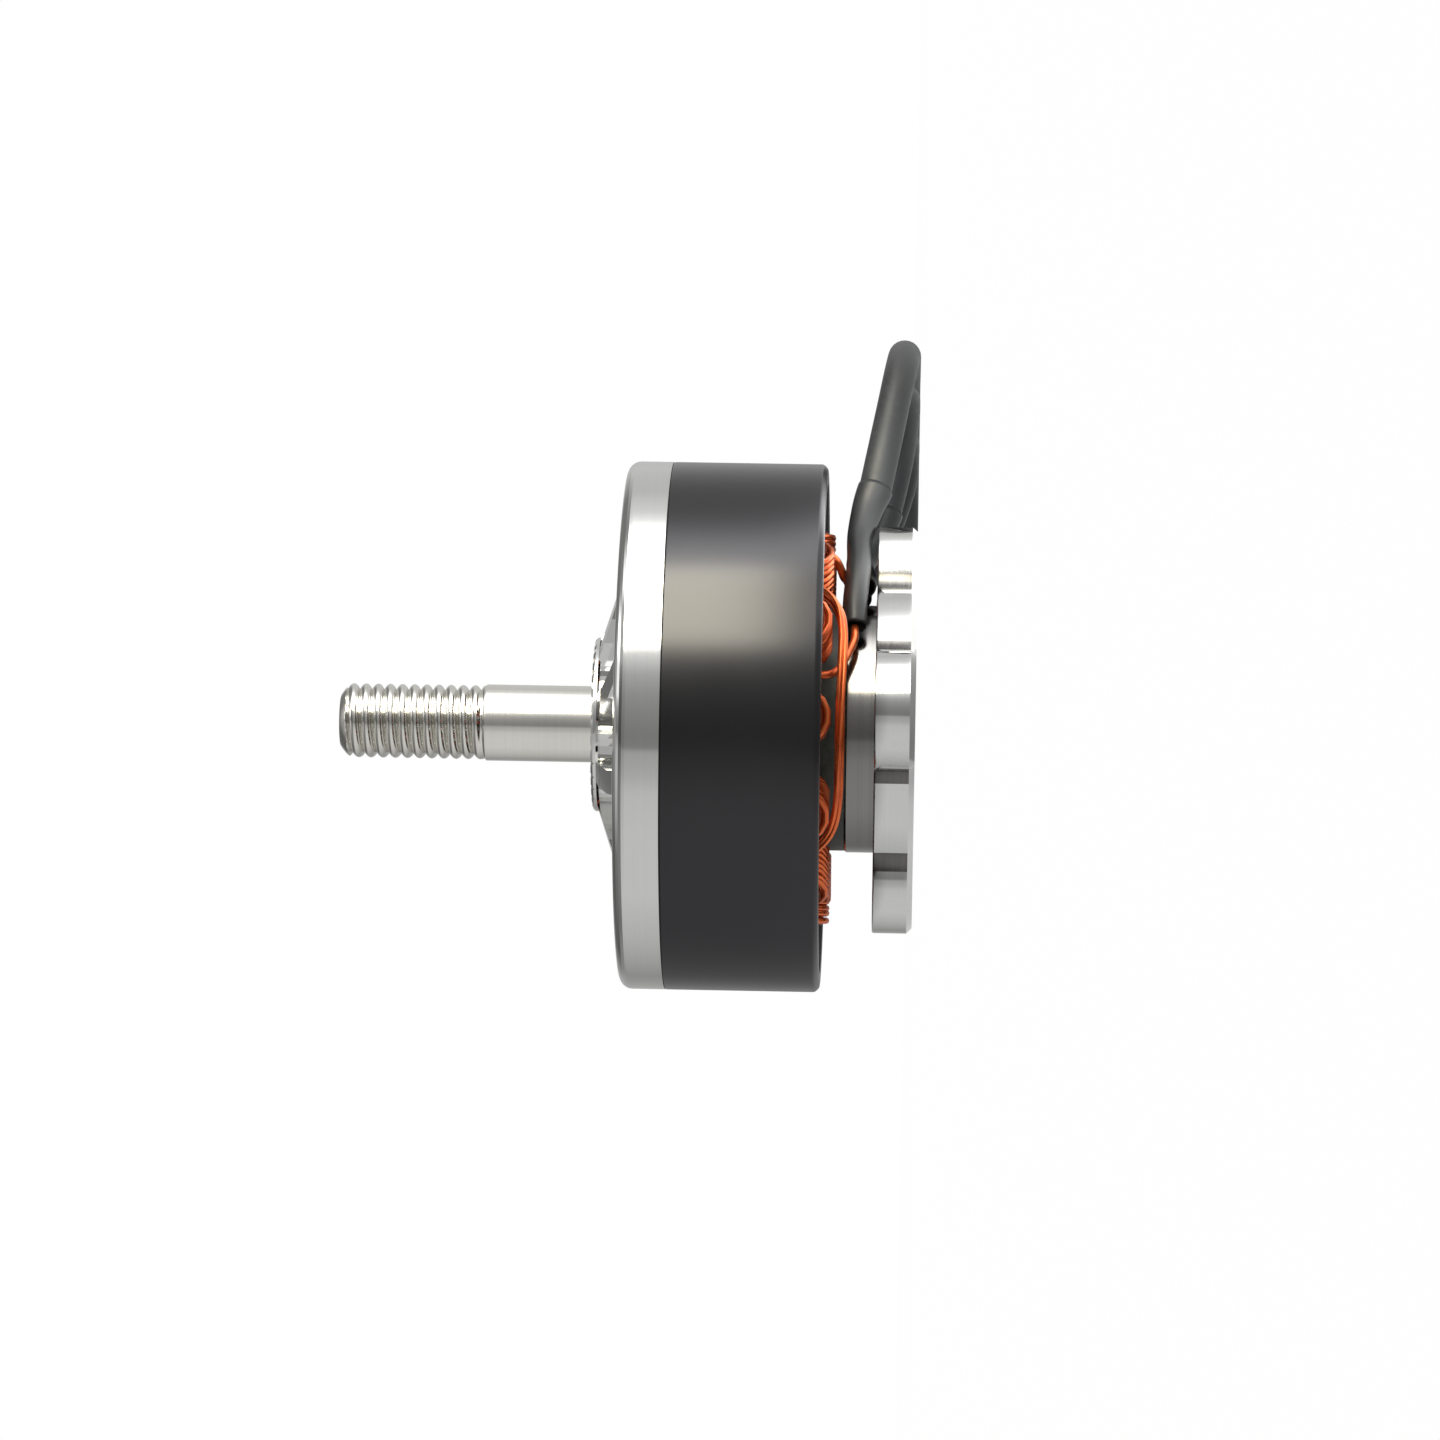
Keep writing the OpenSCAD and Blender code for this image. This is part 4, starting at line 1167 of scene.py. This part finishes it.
@dataclass
class Studio:
    """Camera, floor, world and lamp.

    The tones are the studio's brightness by the angle round the shaft, in degrees. The height tones
    are the share of it that is left by the height of the direction, from 0 level to 1 upright.
    """

    aim: Vector = field(default_factory=lambda: Vector((0.43, 0.0, 12.8)) * MM)
    distance: float = 0.370
    eye_z: float = 0.5 * MM
    lens: float = 141.0
    sensor: float = 36.0
    clip: Pair = (0.005, 20.0)
    roll_deg: float = 1.0
    lamp_deg: float = 53.0
    lamp_distance: float = 0.45
    lamp_size: Pair = (0.31, 0.32)
    lamp_watts: float = 3.1
    lamp_colour: Triple = (1.0, 0.93, 0.72)
    floor_size: float = 6.0
    floor_white: float = 0.985
    floor_colour: tuple[float, float, float, float] = (0.8, 0.8, 0.8, 1)
    floor_roughness: float = 0.9
    soft_light: float = 0.45
    tones: tuple[Pair, ...] = (
        (-180, 0.5), (-141, 0.36), (-120, 0.52), (-105, 0.62), (-80, 0.74), (-49, 0.74), (-30, 0.7),
        (-21, 0.56), (-11, 0.48), (-10, 0.28), (-4, 0.27), (5, 0.32), (13.5, 0.39), (22, 0.53),
        (32, 0.95), (33, 1.5), (64, 1.5), (73, 4.6), (83, 4.2), (93, 2.3), (100, 1.25), (106, 0.92),
        (122, 0.68), (150, 0.68), (180, 0.5),
    )
    height_tones: tuple[Pair, ...] = (
        (0, 1), (0.25, 1), (0.5, 0.35), (0.85, 0.35), (0.97, 0.9),
    )

    def camera(self) -> None:
        """Makes the camera, lying on its side so that the shaft points to the left."""
        data = bpy.data.cameras.new("camera")
        data.lens = self.lens
        data.sensor_width = self.sensor
        data.clip_start, data.clip_end = self.clip
        eye = Vector((self.aim.x, -self.distance, self.eye_z))
        forward = (self.aim - eye).normalized()
        roll = math.radians(self.roll_deg)
        right = Vector((math.sin(roll), 0, -math.cos(roll)))
        right = (right - right.dot(forward) * forward).normalized()
        up = right.cross(forward)
        turn = Matrix((right, up, -forward)).transposed()
        made = bpy.data.objects.new("camera", data)
        made.matrix_world = Matrix.Translation(eye) @ turn.to_4x4()
        bpy.context.scene.collection.objects.link(made)
        bpy.context.scene.camera = made

    def build(self) -> None:
        """Makes the floor, the world and the lamp, and sets the view transform."""
        bpy.context.scene.view_settings.view_transform = "Standard"
        self._floor()
        self._world()
        self._lamp()

    def _round_tone(self, tree: NodeTree, source: NodeSocket) -> NodeSocket:
        """Brightness of the studio as polished metal shows it.

        It is a ramp over the angle round the shaft, atan2(x, -y), from the camera's side at 0.

        Args:
            tree: Node tree of the world or of the floor's material.
            source: Socket with the direction or place whose angle is read.

        Returns:
            The brightness, as a grey.
        """
        parts = add(tree, "SeparateXYZ", {"Vector": source})
        nearer = add(tree, "Math", {0: parts["Y"], 1: -1}, "MULTIPLY")["Value"]
        angle = add(tree, "Math", {0: parts["X"], 1: nearer}, "ARCTAN2")["Value"]
        share = add(tree, "MapRange", {"Value": angle, "From Min": -math.pi, "From Max": math.pi})
        stops = [((degrees + 180) / 360, (level,) * 3) for degrees, level in self.tones]
        return ramp(tree, share["Result"], stops)

    def _height_tone(self, tree: NodeTree, source: NodeSocket) -> NodeSocket:
        """Share of the studio's brightness that is left at a height.

        The walls fade upwards to dim corners, and a pale ceiling hangs over the object.

        Args:
            tree: Node tree of the world.
            source: Socket with the direction.

        Returns:
            The share, as a grey.
        """
        height = add(tree, "SeparateXYZ", {"Vector": source})["Z"]
        return ramp(tree, height, [(z, (level,) * 3) for z, level in self.height_tones])

    def _floor(self) -> None:
        """White floor: white as the camera sees it, with the object's shadow on it.

        Metal sees the studio's tones in it, which carry on the tones of the world.
        """
        half = self.floor_size / 2
        line = np.linspace(-half, half, 9)
        x, y = np.meshgrid(line, line, indexing="ij")
        floor = surface("floor", np.stack([x, y, np.zeros_like(x)], -1), wrap_columns=False)
        made = bpy.data.materials.new("pale_floor")
        made.use_nodes = True
        tree = made.node_tree
        shader = tree.nodes["Principled BSDF"]
        fill(tree, shader, {
            "Base Color": self.floor_colour, "Roughness": self.floor_roughness, "Specular IOR Level": 0,
        })
        ray = add(tree, "LightPath", {})
        place = add(tree, "TexCoord", {})["Object"]
        glow = add(tree, "Emission", {})["Emission"]
        mirrored = add(tree, "Emission", {"Color": self._round_tone(tree, place)})["Emission"]
        part = add(tree, "Math", {0: ray["Is Camera Ray"], 1: self.floor_white}, "MULTIPLY")["Value"]
        seen = add(tree, "MixShader", {0: part, 1: shader.outputs["BSDF"], 2: glow})["Shader"]
        both = add(tree, "MixShader", {0: ray["Is Glossy Ray"], 1: seen, 2: mirrored})["Shader"]
        fill(tree, tree.nodes["Material Output"], {"Surface": both})
        floor.data.materials.append(made)
        floor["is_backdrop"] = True

    def _world(self) -> None:
        """White background, and for the metal a studio whose brightness depends on the direction."""
        world = bpy.data.worlds.new("studio")
        bpy.context.scene.world = world
        world.use_nodes = True
        tree = world.node_tree
        way = add(tree, "TexCoord", {})["Generated"]
        ray = add(tree, "LightPath", {})
        tones = {"Color": self._round_tone(tree, way), "Strength": self._height_tone(tree, way)}
        studio = add(tree, "Background", tones)["Background"]
        plain = tree.nodes["Background"]
        fill(tree, plain, {"Color": WHITE, "Strength": self.soft_light})
        white = add(tree, "Background", {"Color": WHITE, "Strength": 1})["Background"]
        seen = add(tree, "Math", {0: ray["Is Camera Ray"], 1: ray["Is Transmission Ray"]}, "MAXIMUM")
        lit = add(
            tree, "MixShader", {0: ray["Is Glossy Ray"], 1: plain.outputs["Background"], 2: studio},
        )["Shader"]
        shown = add(tree, "MixShader", {0: seen["Value"], 1: lit, 2: white})["Shader"]
        fill(tree, tree.nodes["World Output"], {"Surface": shown})

    def _lamp(self) -> None:
        """One soft box beside the camera, on the side of the leads."""
        data = bpy.data.lights.new("soft_box", "AREA")
        data.shape = "RECTANGLE"
        data.size, data.size_y = self.lamp_size
        data.energy = self.lamp_watts
        data.color = self.lamp_colour
        a = math.radians(self.lamp_deg)
        lamp = bpy.data.objects.new("soft_box", data)
        lamp.location = Vector((math.sin(a), -math.cos(a), 0)) * self.lamp_distance
        lamp.location.z = self.lamp_size[1] / 2
        lamp.rotation_euler = (math.radians(90), 0, a)
        bpy.context.scene.collection.objects.link(lamp)


def main() -> None:
    """Builds the motor's looks and its studio."""
    logging.basicConfig(level=logging.INFO, format="%(message)s")
    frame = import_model()
    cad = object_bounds()
    room = np.array(cad, float)
    studio = Studio()
    studio.camera()
    Lead("a", LEAD_A_MM, SLEEVE_A_MM, growth_share=[0, 0, 0, 0.05, 0.1, 0.55, 1]).build(room)
    Lead("b", LEAD_B_MM, SLEEVE_B_MM, growth_share=[0, 0, 0.1, 0.4, 1, 1]).build(room)
    Lead("c", LEAD_C_MM, SLEEVE_C_MM, growth_share=[0, 0, 0.2, 0.6, 1]).build(room)
    Coils().build()
    RearWires().build()
    Base().build()
    Shaft().build()
    FluxRing().build()
    CadFinishes().dress(frame["nodes"])
    studio.build()


if __name__ == "__main__":
    main()
